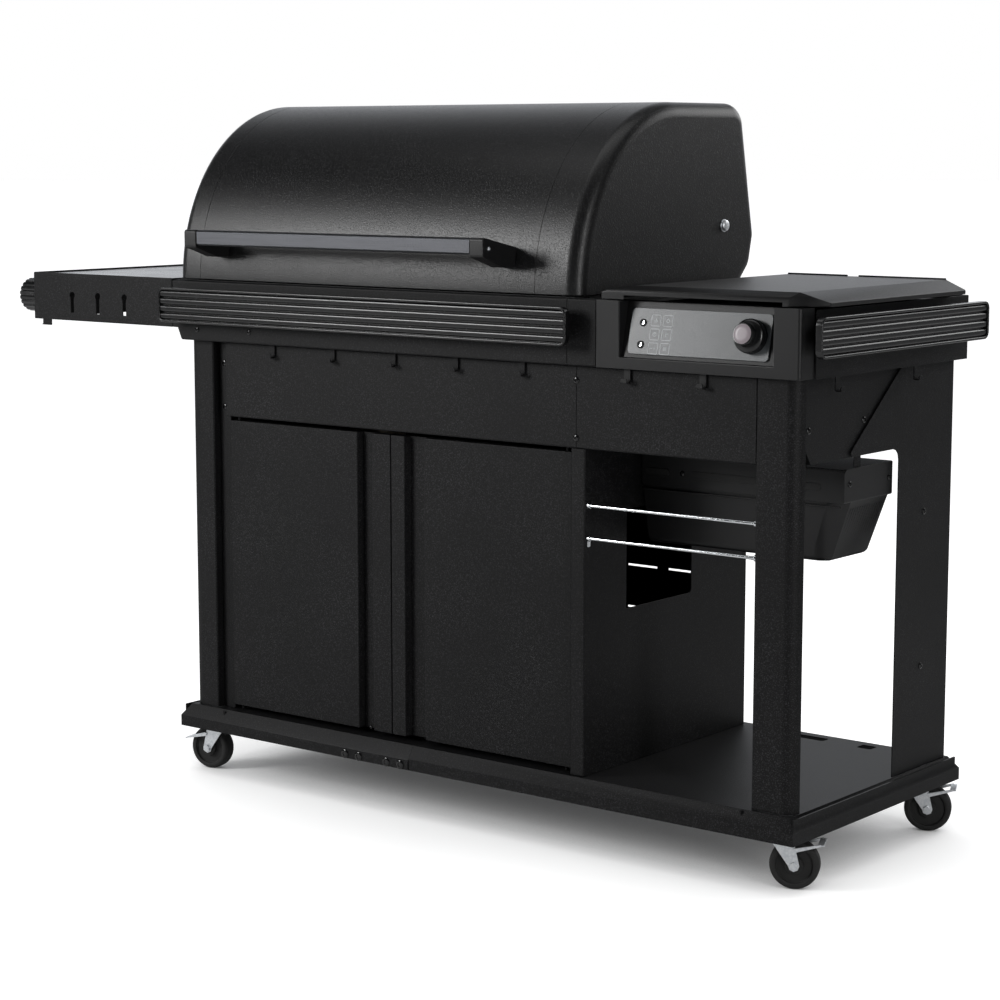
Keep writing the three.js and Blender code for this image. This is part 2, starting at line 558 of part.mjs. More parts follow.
const lidLugs = [[330, 346], [594, 610]].map(([x0, x1]) => join(
  rodX(x0, x1 - gap, lid.axisY, lid.axisZ, 5, 16),
  drawX([[205, 917], [205, 927], [216, 917], [220, 913], [213, 908]], x0, x1 - gap)));
const lidRim = join(block(349, 467, 204, lid.back, 938, 941.5), block(488, 653, 204, lid.back, 938, 941.5));
const lidSolid = join(lidBlank(0, lid.bottom).subtract(lidBlank(lid.wall, lid.bottom - 2)), lidRim, ...lidLugs)
  .subtract(block(335, 628, lid.front - 1, lid.front + 10, 916, 923));
addPart('hopper_lid', lidSolid, 'mouldedBlack');

// Storage bin, which slides out to the right from under its fixed cover plate and back rail.

function binBlank(inset) {
  const rim = bin.rim + inset;
  const low = bin.bottom + 5 + inset;
  const crosswise = drawX([[bin.front + inset, bin.top + inset], [bin.front + inset, rim],
    [bin.front + 4 + inset, bin.rim], [bin.front + 8 + inset, low, 10], [bin.back - 10 - inset, low, 12],
    [bin.back - 4 - inset, bin.rim], [bin.back - inset, rim], [bin.back - inset, bin.top + inset]],
    bin.left, bin.right);
  const lengthwise = drawY([[bin.left + inset, bin.top + inset], [bin.left + inset, rim],
    [bin.left + 10 + inset, low - 1], [bin.right - 37 - inset, low - 1, 8], [bin.right - 2 - inset, bin.rim],
    [bin.right - inset, rim], [bin.right - inset, bin.top + inset]], bin.front, bin.back);
  return crosswise.intersect(lengthwise).subtract(binCorner(inset));
}

// The upright edge between the front and the sloping end is cut off below the rim.
function binCorner(inset) {
  const wedge = drawZ([[bin.right - 36 - 1.5 * inset, bin.front - 1], [bin.right + 9, bin.front - 1],
    [bin.right + 9, bin.front + 38 + 1.5 * inset]], bin.bottom - 5, bin.rim);
  return wedge.warp((spot) => {
    spot[0] -= (bin.rim - spot[2]) * 0.37;
  });
}

const binWall = 2.5;
const coverTop = bin.top + gap + sheet;
const binEnd = drawX([[bin.front, bin.rim], [bin.back, bin.rim], [bin.back, coverTop],
  [bin.front, coverTop, 10]], bin.right - 0.5, bin.right + binWall);
addPart('pellet_bin', join(binBlank(0).subtract(binBlank(binWall)), binEnd), 'mouldedBlack');
const coverHanger = join(
  block(636, 638, -55, -35, coverTop - 1, 676),
  block(636, legX - sheet - gap, -55, -35, 674, 676));
addPart('bin_cover', join(
  block(bin.left, bin.right - 1, bin.front, bin.back + 3, bin.top + gap, coverTop),
  block(bin.left, bin.right - 1, bin.back + 1, bin.back + 3, 604, coverTop),
  block(bin.left - 2.5, bin.left - 0.5, bin.front + 8, bin.back, bin.top + gap, 669),
  block(bin.left - 1, bin.left + 1, bin.front + 8, bin.back, bin.top + gap, coverTop),
  coverHanger), 'powderCoat');

// Two chrome rods between the cabinet and the right front leg.

function buildRod(name, z, clip) {
  const y = -240;
  const left = cabinet.right + 0.4;
  const right = beam.right - 0.4;
  const solid = join(rodX(left, right, y, z, 3, 12), rodX(left, left + 5, y, z, 5, 12),
    rodX(right - 5, right, y, z, 5, 12), block(left, left + 2, y - 4, y + 4, z - clip, z));
  addPart(name, solid, 'chrome');
}

buildRod('rod_upper', 578, 6);
buildRod('rod_lower', 524, 14);

// Cooking tub with grate ledges and the hinge arms of the hood.

function tubOutline(inset, top) {
  return [[tub.front + inset, top], [tub.front + inset, 760], [-210 + inset, tub.bottom + inset],
    [180 - inset / 2, tub.bottom + inset], [tub.back - inset, 780], [tub.back - inset, top]];
}

const armProfile = [[-20, 890], [45, 890], [45, 930], [56, 972], [hood.pivotY, 1009], [171, 1012],
  [173, 1021], [169, 1031], [hood.pivotY, 1033], [40, 1012], [2, 972]];
const pinLength = 4;
const armThickness = 4;
const hingeArms = [[tub.right, 1], [tub.left, -1]].map(([face, side]) => {
  const inner = face - side * armThickness;
  const cap = side > 0 ? hood.right : hood.left;
  const spans = [[inner, face], [face - side, cap + side * (pinLength + 0.6)],
    [cap + side * 0.6, cap + side * (pinLength + 0.6)]].map((pair) => pair.sort((a, b) => a - b));
  return join(drawX(armProfile, ...spans[0]), rodX(...spans[1], hood.pivotY, hood.pivotZ, 5, 16),
    rodX(...spans[2], hood.pivotY, hood.pivotZ, 9, 16));
});
const tubShell = drawX(tubOutline(0, tub.rim), tub.left, tub.right)
  .subtract(drawX(tubOutline(sheet, tub.rim + 1), tub.left + sheet, tub.right - sheet))
  .subtract(block(tub.left - 1, tub.right + 1, 60, tub.back - sheet, tub.heel, tub.rim + 1));
const rimFlange = block(tub.left, tub.right, hood.front + 1, tub.front + 1, tub.rim - sheet, tub.rim);
const ledges = join(
  block(tub.left + 1, tub.right - 1, tub.front + 1, -208, 880, 882),
  block(tub.left + 1, tub.right - 1, 222, tub.back - 1, 880, 882));
const drainX = -500;
const drainY = 90;
const tubCuts = [
  rodX(tub.right - 5, tub.right + 5, auger.y, auger.z, auger.tubeOuter + 1, 20),
  rodZ(drainX, drainY, tub.bottom - 5, tub.bottom + 5, 15, 16),
  block(-400, -20, tub.back - 5, tub.back + 5, 850, 876),
];
let tubSolid = join(tubShell, rimFlange, ledges, ...hingeArms);
for (const cut of tubCuts) {
  tubSolid = tubSolid.subtract(cut);
}
addPart('cooking_tub', tubSolid, 'powderCoat');

addPart('exhaust_duct', block(-420, 0, tub.back + gap, tub.back + 34, 820, 900)
  .subtract(block(-418, -2, tub.back - 5, tub.back + 32, 815, 898)), 'powderCoat');

// Inside the tub.

function buildGrate(name, x0, x1) {
  const bars = 17;
  const barWidth = 5;
  const low = 882 + gap;
  const pitch = (x1 - x0 - 1 - barWidth) / (bars - 1);
  const pieces = [block(x0, x1, -214, -206, low, 888), block(x0, x1, 218, 226, low, 888),
    block(x0 + 1, x1 - 1, 2, 8, low + 1, 887)];
  for (let index = 0; index < bars; index += 1) {
    const left = x0 + 0.5 + index * pitch;
    pieces.push(block(left, left + barWidth, -210, 222, low + 0.5, 887.5));
  }
  addPart(name, join(...pieces), 'castIron');
}

buildGrate('grate_left', tub.left + 8, -211);
buildGrate('grate_right', -209, tub.right - 8);

addPart('drip_tray', block(-650, 230, -216, 228, 818, 832)
  .subtract(block(-648, 228, -214, 226, 820, 840))
  .subtract(rodZ(drainX, drainY, 810, 840, 12, 16)), 'bareSteel');

const baffleLine = [[-91, 802], [auger.y, 815], [-215, 802]];
const bafflePosts = [[-50.5, 0], [50.5, 0], [0, -50.5], [0, 50.5]].map(([dx, dy]) => block(
  pot.x + dx - 2, pot.x + dx + 2, auger.y + dy - 2, auger.y + dy + 2, pot.top + gap,
  dy === 0 ? 814 : 804));
addPart('heat_baffle', join(drawX(fold(baffleLine), pot.x - 120, pot.x + 120), ...bafflePosts), 'bareSteel');

addPart('fire_pot', rodZ(pot.x, auger.y, tub.bottom + sheet + gap, pot.top, pot.radius, 24)
  .subtract(rodZ(pot.x, auger.y, tub.bottom + 10, pot.top + 1, pot.radius - pot.wall, 24))
  .subtract(rodX(pot.x + 20, pot.x + pot.radius + 5, auger.y, auger.z, 18, 16)), 'bareSteel');

// The auger's flight is a flat lens-shaped bar, twisted as it runs along the shaft.
const augerStart = pot.x + pot.radius + 6;
const augerLength = 556 - augerStart;
const flightShape = new THREE.Shape([[auger.radius, 0], [6, 5], [-6, 5], [-auger.radius, 0], [-6, -5], [6, -5]]
  .map(([x, y]) => new THREE.Vector2(x, y)));
const flight = new THREE.ExtrudeGeometry(flightShape, {
  depth: augerLength, steps: Math.round((augerLength / auger.pitch) * 8), bevelEnabled: false,
});
const spot = new THREE.Vector3();
const flightPlaces = flight.attributes.position;
const turnAxis = new THREE.Vector3(0, 0, 1);
for (let index = 0; index < flightPlaces.count; index += 1) {
  spot.fromBufferAttribute(flightPlaces, index);
  spot.applyAxisAngle(turnAxis, (spot.z / auger.pitch) * 2 * Math.PI);
  flightPlaces.setXYZ(index, spot.x, spot.y, spot.z);
}
flight.applyMatrix4(alongX);
const augerScrew = addPart('auger_screw', join(toSolid(flight), rodX(augerLength - 1, augerLength + 13, 0, 0, 5, 12)),
  'bareSteel');
augerScrew.position.set(augerStart, auger.y, auger.z);
addPart('auger_motor', join(block(572, 644, -188, -118, floorTop + gap, 764),
  block(571, 573, -170, -136, 700, 732)), 'zinc');

addPart('blower', join(rodX(tub.right + 3, 270, 20, 770, 52, 24), rodX(269, 287, 20, 770, 20, 16),
  block(tub.right + 3, 270, 20, 72, 770, 818)), 'mouldedBlack');

const kegRadius = 60;
addPart('grease_keg', rodZ(drainX, drainY, 560, wallTop - 0.1, kegRadius, 24, kegRadius + 6)
  .subtract(rodZ(drainX, drainY, 562, wallTop + 1, kegRadius - 2, 24, kegRadius + 4)), 'bareSteel');

// Hood: a centre shell between two drawn end caps, one skin that turns on the hinge pins.

function hoodOutline(inset) {
  const wide = hood.middleY - hood.front - inset;
  const high = hood.top - hood.middleZ - inset;
  const low = hood.bottom - 60;
  const points = [[hood.front + inset, low]];
  for (let step = 0; step <= 10; step += 1) {
    const angle = (step / 10) * (Math.PI / 2);
    points.push([hood.middleY - wide * Math.cos(angle), hood.middleZ + high * Math.sin(angle)]);
  }
  const rear = roundOff([[150, low], [hood.middleY, hood.top - inset], [226 - inset * 0.85, hood.top - inset, 40],
    [271.5 - inset, 1003, 30], [258 - inset, 948, 40], [170 - inset, low]], 4).slice(2, -1);
  return [...points, ...rear.map((point) => [point.x, point.y]), [170 - inset, low]];
}

function hoodBlank(inset, edge) {
  const shape = new THREE.Shape(hoodOutline(inset).map(([y, z]) => new THREE.Vector2(y, z)));
  const length = hood.right - hood.left - 2 * inset;
  const geometry = new THREE.ExtrudeGeometry(shape, {
    depth: length - 2 * edge, bevelEnabled: true, bevelThickness: edge, bevelSize: edge, bevelOffset: -edge,
    bevelSegments: 3,
  });
  geometry.translate(0, 0, edge).applyMatrix4(alongX).translate(hood.left + inset, 0, 0);
  return toSolid(geometry);
}

const belowHood = block(hood.left - 9, hood.right + 9, -400, 400, 700, hood.bottom);
const pinHoles = join(
  rodX(hood.left - 5, hood.left + 5, hood.pivotY, hood.pivotZ, 6, 16),
  rodX(hood.right - 5, hood.right + 5, hood.pivotY, hood.pivotZ, 6, 16));
const hoodWhole = hoodBlank(0, hood.edge).subtract(hoodBlank(hood.wall, hood.edge - hood.wall))
  .subtract(belowHood).subtract(pinHoles);

function hoodSection(name, x0, x1) {
  addPart(name, hoodWhole.intersect(block(x0, x1, -500, 500, 800, 1300)), 'satinEnamel');
}

hoodSection('hood_cap_left', hood.left - 1, hood.seamLeft - gap / 2);
hoodSection('hood_shell', hood.seamLeft + gap / 2, hood.seamRight - gap / 2);
hoodSection('hood_cap_right', hood.seamRight + gap / 2, hood.right + 1);

addPart('handle_bar', drawX(rectangle(handle.front, handle.front + handle.depth, handle.bottom, handle.top, 4),
  handle.left + gap, handle.right - gap), 'brushedDark');
const skinFront = (z) => [hood.middleY - gap
  - (hood.middleY - hood.front) * Math.sqrt(1 - ((z - hood.middleZ) / (hood.top - hood.middleZ)) ** 2), z];
const bracketOutline = [skinFront(993), skinFront(977), skinFront(961), [-286, 961, 20],
  [handle.front - 2, handle.bottom - 3, 5], [handle.front - 2, handle.top + 2, 5]];
addPart('handle_bracket_left', drawX(bracketOutline, handle.left - handle.arm, handle.left), 'mouldedBlack');
addPart('handle_bracket_right', drawX(bracketOutline, handle.right, handle.right + handle.arm), 'mouldedBlack');

// The part's own origin is the middle of its footprint, on the floor.
const extent = new THREE.Box3().setFromObject(grill);
grill.position.set(-(extent.min.x + extent.max.x) / 2, -(extent.min.y + extent.max.y) / 2, -extent.min.z);

export default grill;
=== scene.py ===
import json
import math
import bmesh
import bpy
from mathutils import Matrix, Vector


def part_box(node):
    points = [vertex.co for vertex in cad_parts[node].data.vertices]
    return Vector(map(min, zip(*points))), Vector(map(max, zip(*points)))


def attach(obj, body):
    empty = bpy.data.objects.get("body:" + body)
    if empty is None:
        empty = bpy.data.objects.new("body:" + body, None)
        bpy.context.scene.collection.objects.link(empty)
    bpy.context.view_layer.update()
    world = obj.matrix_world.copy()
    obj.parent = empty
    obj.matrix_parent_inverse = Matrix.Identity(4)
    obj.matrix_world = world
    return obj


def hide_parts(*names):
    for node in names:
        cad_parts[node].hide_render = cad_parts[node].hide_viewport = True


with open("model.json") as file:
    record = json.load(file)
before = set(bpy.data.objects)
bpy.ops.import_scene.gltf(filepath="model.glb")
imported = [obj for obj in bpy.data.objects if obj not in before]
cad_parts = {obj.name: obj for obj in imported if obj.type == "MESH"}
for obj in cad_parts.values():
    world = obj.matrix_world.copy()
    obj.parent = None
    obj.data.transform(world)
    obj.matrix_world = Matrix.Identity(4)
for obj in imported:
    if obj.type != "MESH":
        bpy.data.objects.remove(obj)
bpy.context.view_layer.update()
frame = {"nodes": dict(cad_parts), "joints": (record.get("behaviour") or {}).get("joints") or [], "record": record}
mm = 0.001
bodyOf = {node: body for body, nodes in frame["record"]["behaviour"]["bodies"].items() for node in nodes}
slotOf = {part["node"]: part["material_slot"] for part in frame["record"]["subparts"]}
joints = {joint["name"]: joint for joint in frame["joints"]}
trayLow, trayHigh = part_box("base_tray_right")
middle = Vector(((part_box("base_tray_left")[0].x + trayHigh.x) / 2, (trayLow.y + trayHigh.y) / 2, 0))
right, front, away = Vector((1, 0, 0)), Vector((0, -1, 0)), Vector((0, 1, 0))
cornerNames = ("front_left", "front_right", "rear_left", "rear_right")
usualSharp, crispSharp = 38, 25  # degrees past which an edge is drawn sharp
print("frame loaded:", len(frame["nodes"]), "nodes")


def at(x, y, z):  # a place in millimetres from the middle of the cart, on the floor
    return middle + Vector((x, y, z)) * mm


# camera, light and floor

cameraView = {"place": (2628, -3485, 1157), "azimuth": 38.26, "down": 8.07, "lens": 89.9,
              "sensor": 36}


def makeCamera():
    data = bpy.data.cameras.new("camera")
    data.lens = cameraView["lens"]
    data.sensor_width = cameraView["sensor"]
    camera = bpy.data.objects.new("camera", data)
    camera.location = at(*cameraView["place"])
    camera.rotation_euler = (math.radians(90 - cameraView["down"]), 0, math.radians(cameraView["azimuth"]))
    bpy.context.scene.collection.objects.link(camera)
    bpy.context.scene.camera = camera


# name: place in millimetres, size across and up in metres, power in watts
lights = {
    "key": ((-2700, -3300, 2100), (1.3, 1.6), 110),
    "rightStrip": ((3300, -1500, 1500), (0.4, 2.2), 38),
    "top": ((100, -300, 3300), (3.4, 1.2), 18),
    "back": ((1200, 3200, 2300), (2.6, 1.6), 40),
}


def makeLights():
    aim = at(-60, 0, 760)
    for name, (place, size, power) in lights.items():
        data = bpy.data.lights.new(name, "AREA")
        data.shape = "RECTANGLE"
        data.size, data.size_y = size
        data.energy = power
        light = bpy.data.objects.new(name, data)
        light.location = at(*place)
        light.rotation_euler = (aim - light.location).to_track_quat("-Z", "Y").to_euler()
        bpy.context.scene.collection.objects.link(light)


def srgb(code):  # a hex colour as linear red, green, blue and alpha
    channels = [int(code[index:index + 2], 16) / 255 for index in (1, 3, 5)]
    return [c / 12.92 if c <= 0.04045 else ((c + 0.055) / 1.055) ** 2.4 for c in channels] + [1]


def addNode(tree, kind, inputs=None, **settings):
    node = tree.nodes.new(kind)
    for name, value in settings.items():
        setattr(node, name, value)
    for socket, value in (inputs or {}).items():
        if isinstance(value, bpy.types.NodeSocket):
            tree.links.new(value, node.inputs[socket])
        else:
            node.inputs[socket].default_value = value
    return node


def makeWorld():
    world = bpy.data.worlds.new("studio")
    world.use_nodes = True
    tree = world.node_tree
    tree.nodes.clear()
    seen = addNode(tree, "ShaderNodeBackground", {"Color": srgb("#ffffff"), "Strength": 1.0})
    ray = addNode(tree, "ShaderNodeTexCoord")
    # dim all round but for a white wall behind and to the left, which the level tops reflect
    toWall = addNode(tree, "ShaderNodeVectorMath", {0: ray.outputs["Generated"], 1: (-0.62, 0.78, 0)},
                     operation="DOT_PRODUCT")
    wall = addNode(tree, "ShaderNodeMapRange", {"Value": toWall.outputs["Value"], "From Min": 0.6,
                                                "From Max": 0.97, "To Min": 0.045, "To Max": 1.3})
    fill = addNode(tree, "ShaderNodeBackground", {"Color": srgb("#f2f5fa"), "Strength": wall.outputs[0]})
    path = addNode(tree, "ShaderNodeLightPath")
    mixed = addNode(tree, "ShaderNodeMixShader", {0: path.outputs["Is Camera Ray"], 1: fill.outputs[0],
                                                  2: seen.outputs[0]})
    addNode(tree, "ShaderNodeOutputWorld", {"Surface": mixed.outputs[0]})
    bpy.context.scene.world = world
    bpy.context.scene.view_settings.view_transform = "Standard"


def makeFloor():
    bm = bmesh.new()
    bmesh.ops.create_circle(bm, cap_ends=True, segments=128, radius=80)
    mesh = bpy.data.meshes.new("floor")
    bm.to_mesh(mesh)
    bm.free()
    floor = bpy.data.objects.new("floor", mesh)
    bpy.context.scene.collection.objects.link(floor)
    paper = bpy.data.materials.new("whitePaper")
    paper.use_nodes = True
    tree = paper.node_tree
    shader = tree.nodes["Principled BSDF"]
    shader.inputs["Base Color"].default_value = srgb("#d8d8d8")
    shader.inputs["Roughness"].default_value = 0.75
    # white to the camera, with a painted shadow where the cart hides the room, and only a weak glow on the grill
    paintedShadow = addNode(tree, "ShaderNodeAmbientOcclusion", {"Distance": 0.7}, samples=8)
    tree.links.new(paintedShadow.outputs["Color"], shader.inputs["Emission Color"])
    path = addNode(tree, "ShaderNodeLightPath")
    glow = addNode(tree, "ShaderNodeMath", {0: path.outputs["Is Camera Ray"], 1: 0.8, 2: 0.18},
                   operation="MULTIPLY_ADD")
    tree.links.new(glow.outputs[0], shader.inputs["Emission Strength"])
    mesh.materials.append(paper)


makeCamera()
makeLights()
makeWorld()
makeFloor()
print("camera, lights and floor made")


# materials

def startMaterial(name, colour, roughness, metallic=0.0, specular=0.5):
    material = bpy.data.materials.new(name)
    material.use_nodes = True
    tree = material.node_tree
    shader = tree.nodes["Principled BSDF"]
    shader.inputs["Base Color"].default_value = srgb(colour)
    shader.inputs["Roughness"].default_value = roughness
    shader.inputs["Metallic"].default_value = metallic
    shader.inputs["Specular IOR Level"].default_value = specular
    place = addNode(tree, "ShaderNodeTexCoord").outputs["Object"]
    return material, tree, shader, place


# size and depth in millimetres: one noise makes the relief, the specks in the colour (a painted sparkle where they
# are light) and the change in roughness
def addGrain(tree, shader, place, size, depth, colours, roughness, detail=3.0, contrast=(0.35, 0.65)):
    grain = addNode(tree, "ShaderNodeTexNoise", {"Vector": place, "Scale": 1 / (size * mm), "Detail": detail,
                                                 "Roughness": 0.62})
    spread = addNode(tree, "ShaderNodeMapRange", {"Value": grain.outputs["Fac"], "From Min": contrast[0],
                                                  "From Max": contrast[1]})
    cloud = addNode(tree, "ShaderNodeTexNoise", {"Vector": place, "Scale": 1 / (180 * mm), "Detail": 2.0})
    drift = addNode(tree, "ShaderNodeMath", {0: spread.outputs[0], 1: cloud.outputs["Fac"]},
                    operation="MULTIPLY")
    tint = addNode(tree, "ShaderNodeMix", {"Factor": drift.outputs[0], "A": srgb(colours[0]),
                                           "B": srgb(colours[1])}, data_type="RGBA")
    tree.links.new(tint.outputs["Result"], shader.inputs["Base Color"])
    rough = addNode(tree, "ShaderNodeMapRange", {"Value": grain.outputs["Fac"], "From Min": 0.3,
                                                 "From Max": 0.7, "To Min": roughness[0],
                                                 "To Max": roughness[1]})
    tree.links.new(rough.outputs[0], shader.inputs["Roughness"])
    bump = addNode(tree, "ShaderNodeBump", {"Height": spread.outputs[0], "Distance": depth * mm,
                                            "Strength": 1.0})
    tree.links.new(bump.outputs[0], shader.inputs["Normal"])


def texturedPowderCoat():  # matt black with a salt-like sparkle painted into the colour as light specks over a real relief, drawn coarser than real to show
    material, tree, shader, place = startMaterial("texturedPowderCoat", "#101011", 0.5, 0.0, 0.2)
    addGrain(tree, shader, place, 1.8, 0.14, ("#070708", "#4a4a4c"), (0.46, 0.62), 1.0, (0.52, 0.8))
    return material


def satinHeatEnamel():  # smoother than the cart: orange peel that spreads the light
    material, tree, shader, place = startMaterial("satinHeatEnamel", "#0d0d0e", 0.4, 0.0, 0.42)
    addGrain(tree, shader, place, 2.4, 0.14, ("#09090a", "#3c3c3d"), (0.33, 0.42), 1.0, (0.5, 0.78))
    return material


def mouldedAbs():  # fine leather grain, dull black with a grey bloom
    material, tree, shader, place = startMaterial("mouldedAbs", "#121213", 0.5, 0.0, 0.35)
    addGrain(tree, shader, place, 1.6, 0.04, ("#0d0d0e", "#181819"), (0.4, 0.5))
    return material


def glossyAbs():  # polished tool marks only, so that edges draw bright lines
    material, tree, shader, place = startMaterial("glossyAbs", "#0e0e0f", 0.25)
    addGrain(tree, shader, place, 5.0, 0.003, ("#0b0b0c", "#131314"), (0.22, 0.28))
    return material


def ceramicGlass():  # black glass with the faint printed dots of a cooktop
    material, tree, shader, place = startMaterial("ceramicGlass", "#0b0b0c", 0.1, 0.0, 0.3)
    shader.inputs["IOR"].default_value = 1.54
    dots = addNode(tree, "ShaderNodeTexVoronoi", {"Vector": place, "Scale": 1 / (7 * mm), "Randomness": 0.15})
    mask = addNode(tree, "ShaderNodeMapRange", {"Value": dots.outputs["Distance"], "From Min": 0.12,
                                                "From Max": 0.18, "To Min": 0.5, "To Max": 0.0})
    tint = addNode(tree, "ShaderNodeMix", {"Factor": mask.outputs[0], "A": srgb("#0a0a0b"),
                                           "B": srgb("#3a3a3e")}, data_type="RGBA")
    tree.links.new(tint.outputs["Result"], shader.inputs["Base Color"])
    smear = addNode(tree, "ShaderNodeTexNoise", {"Vector": place, "Scale": 1 / (60 * mm), "Detail": 4.0})
    rough = addNode(tree, "ShaderNodeMapRange", {"Value": smear.outputs["Fac"], "To Min": 0.2,
                                                 "To Max": 0.34})
    tree.links.new(rough.outputs[0], shader.inputs["Roughness"])
    return material


def brushedMetal(name, colours, roughness, stretch, metallic=1.0):  # hairlines along X, drawn wider than real
    material, tree, shader, place = startMaterial(name, colours[0], roughness[0], metallic)
    lines = addNode(tree, "ShaderNodeMapping", {"Vector": place, "Scale": (1 / stretch, 1, 1)})
    hair = addNode(tree, "ShaderNodeTexNoise", {"Vector": lines.outputs[0], "Scale": 1 / (1.4 * mm),
                                                "Detail": 4.0})
    tint = addNode(tree, "ShaderNodeMix", {"Factor": hair.outputs["Fac"], "A": srgb(colours[0]),
                                           "B": srgb(colours[1])}, data_type="RGBA")
    tree.links.new(tint.outputs["Result"], shader.inputs["Base Color"])
    rough = addNode(tree, "ShaderNodeMapRange", {"Value": hair.outputs["Fac"], "From Min": 0.3,
                                                 "From Max": 0.7, "To Min": roughness[0],
                                                 "To Max": roughness[1]})
    tree.links.new(rough.outputs[0], shader.inputs["Roughness"])
    bump = addNode(tree, "ShaderNodeBump", {"Height": hair.outputs["Fac"], "Distance": 0.06 * mm})
    tree.links.new(bump.outputs[0], shader.inputs["Normal"])
    return material


def platedMetal(name, colours, roughness, cell):  # bright plating with a faint mottle
    material, tree, shader, place = startMaterial(name, colours[0], roughness[0], 1.0)
    mottle = addNode(tree, "ShaderNodeTexVoronoi", {"Vector": place, "Scale": 1 / (cell * mm)})
    haze = addNode(tree, "ShaderNodeTexNoise", {"Vector": place, "Scale": 1 / (12 * mm), "Detail": 5.0})
    tint = addNode(tree, "ShaderNodeMix", {"Factor": mottle.outputs["Distance"], "A": srgb(colours[0]),
                                           "B": srgb(colours[1])}, data_type="RGBA")
    tree.links.new(tint.outputs["Result"], shader.inputs["Base Color"])
    rough = addNode(tree, "ShaderNodeMapRange", {"Value": haze.outputs["Fac"], "From Min": 0.3,
                                                 "From Max": 0.7, "To Min": roughness[0],
                                                 "To Max": roughness[1]})
    tree.links.new(rough.outputs[0], shader.inputs["Roughness"])
    return material


def tyreRubber():  # dull, slightly dusty black with a fine mould skin
    material, tree, shader, place = startMaterial("tyreRubber", "#161616", 0.75)
    addGrain(tree, shader, place, 2.2, 0.12, ("#101010", "#2b2a29"), (0.6, 0.85))
    return material


def panelOverlay():  # satin grey film over the display, its fine grain drawn coarser
    material, tree, shader, place = startMaterial("panelOverlay", "#505355", 0.34)
    addGrain(tree, shader, place, 1.8, 0.03, ("#4a4d4f", "#575a5c"), (0.28, 0.38))
    return material


def heatStainedSteel():  # straw and blue temper colours over worn bare steel
    material, tree, shader, place = startMaterial("heatStainedSteel", "#6f7072", 0.42, 1.0)
    stain = addNode(tree, "ShaderNodeTexNoise", {"Vector": place, "Scale": 1 / (55 * mm), "Detail": 6.0})
    ramp = addNode(tree, "ShaderNodeValToRGB", {"Fac": stain.outputs["Fac"]})
    ramp.color_ramp.elements[0].position = 0.3
    ramp.color_ramp.elements[0].color = srgb("#4e5055")
    ramp.color_ramp.elements[1].position = 0.7
    ramp.color_ramp.elements[1].color = srgb("#8b8172")
    tree.links.new(ramp.outputs[0], shader.inputs["Base Color"])
    scratch = addNode(tree, "ShaderNodeTexNoise", {"Vector": place, "Scale": 1 / (2.5 * mm), "Detail": 4.0})
    rough = addNode(tree, "ShaderNodeMapRange", {"Value": scratch.outputs["Fac"], "To Min": 0.3,
                                                 "To Max": 0.6})
    tree.links.new(rough.outputs[0], shader.inputs["Roughness"])
    bump = addNode(tree, "ShaderNodeBump", {"Height": scratch.outputs["Fac"], "Distance": 0.1 * mm})
    tree.links.new(bump.outputs[0], shader.inputs["Normal"])
    return material


def porcelainIron():  # cast grates under thick porcelain: wavy, half glossy
    material, tree, shader, place = startMaterial("porcelainIron", "#141313", 0.35)
    addGrain(tree, shader, place, 2.6, 0.3, ("#0f0f0f", "#272423"), (0.24, 0.48))
    return material


def plainCoat(name, colour, roughness):  # print, lacquer, dull black parts and painted slot shade, with a slight mottle
    material, tree, shader, place = startMaterial(name, colour, roughness)
    mottle = addNode(tree, "ShaderNodeTexNoise", {"Vector": place, "Scale": 1 / (3 * mm), "Detail": 3.0})
    rough = addNode(tree, "ShaderNodeMapRange", {"Value": mottle.outputs["Fac"], "To Min": roughness - 0.06,
                                                 "To Max": roughness + 0.08})
    tree.links.new(rough.outputs[0], shader.inputs["Roughness"])
    bump = addNode(tree, "ShaderNodeBump", {"Height": mottle.outputs["Fac"], "Distance": 0.02 * mm})
    tree.links.new(bump.outputs[0], shader.inputs["Normal"])
    return material


finish = {
    "powder_coat": texturedPowderCoat(),
    "satin_enamel": satinHeatEnamel(),
    "moulded_black": mouldedAbs(),
    "gloss_black": glossyAbs(),
    "ceramic_glass": ceramicGlass(),
    "brushed_dark": brushedMetal("darkAnodisedAluminium", ("#2c2d2f", "#3c3d40"), (0.34, 0.46), 40),
    "chrome": platedMetal("chromePlate", ("#dfe2e4", "#cfd2d5"), (0.05, 0.12), 30),
    "zinc": platedMetal("brightZincPlate", ("#eceef0", "#d2d6da"), (0.34, 0.5), 4),
    "rubber": tyreRubber(),
    "grey_panel": panelOverlay(),
    "bare_steel": heatStainedSteel(),
    "cast_iron": porcelainIron(),
}
handleStrip = brushedMetal("brushedHandleStrip", ("#4a4b4e", "#5d5e62"), (0.34, 0.46), 60, 0.85)
screenPrint = plainCoat("greyScreenPrint", "#b4b7b9", 0.5)
knobCap = plainCoat("silverPinkLacquer", "#8f858a", 0.32)
blackOxide = plainCoat("blackOxideSteel", "#050506", 0.16)
# the black of the probe socket bodies, and painted shade inside the bin's recessed slots
blackSocketAndSlotShade = plainCoat("blackSocketAndPaintedSlotShade", "#060606", 0.6)
print("materials made:", len(bpy.data.materials))


# building helpers

def showPiece(bm, name, material, body, replaced=(), sharpAt=usualSharp):
    mesh = bpy.data.meshes.new(name)
    bm.to_mesh(mesh)
    bm.free()
    mesh.materials.append(material)
    mesh.shade_smooth()
    mesh.set_sharp_from_angle(angle=math.radians(sharpAt))
    piece = bpy.data.objects.new(name, mesh)
    bpy.context.scene.collection.objects.link(piece)
    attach(piece, body)
    if replaced:
        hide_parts(*replaced)
    return piece


def evenShading(piece):  # flat faces stay flat beside rounded edges
    weighted = piece.modifiers.new("evenShading", "WEIGHTED_NORMAL")
    weighted.keep_sharp = True
    return piece


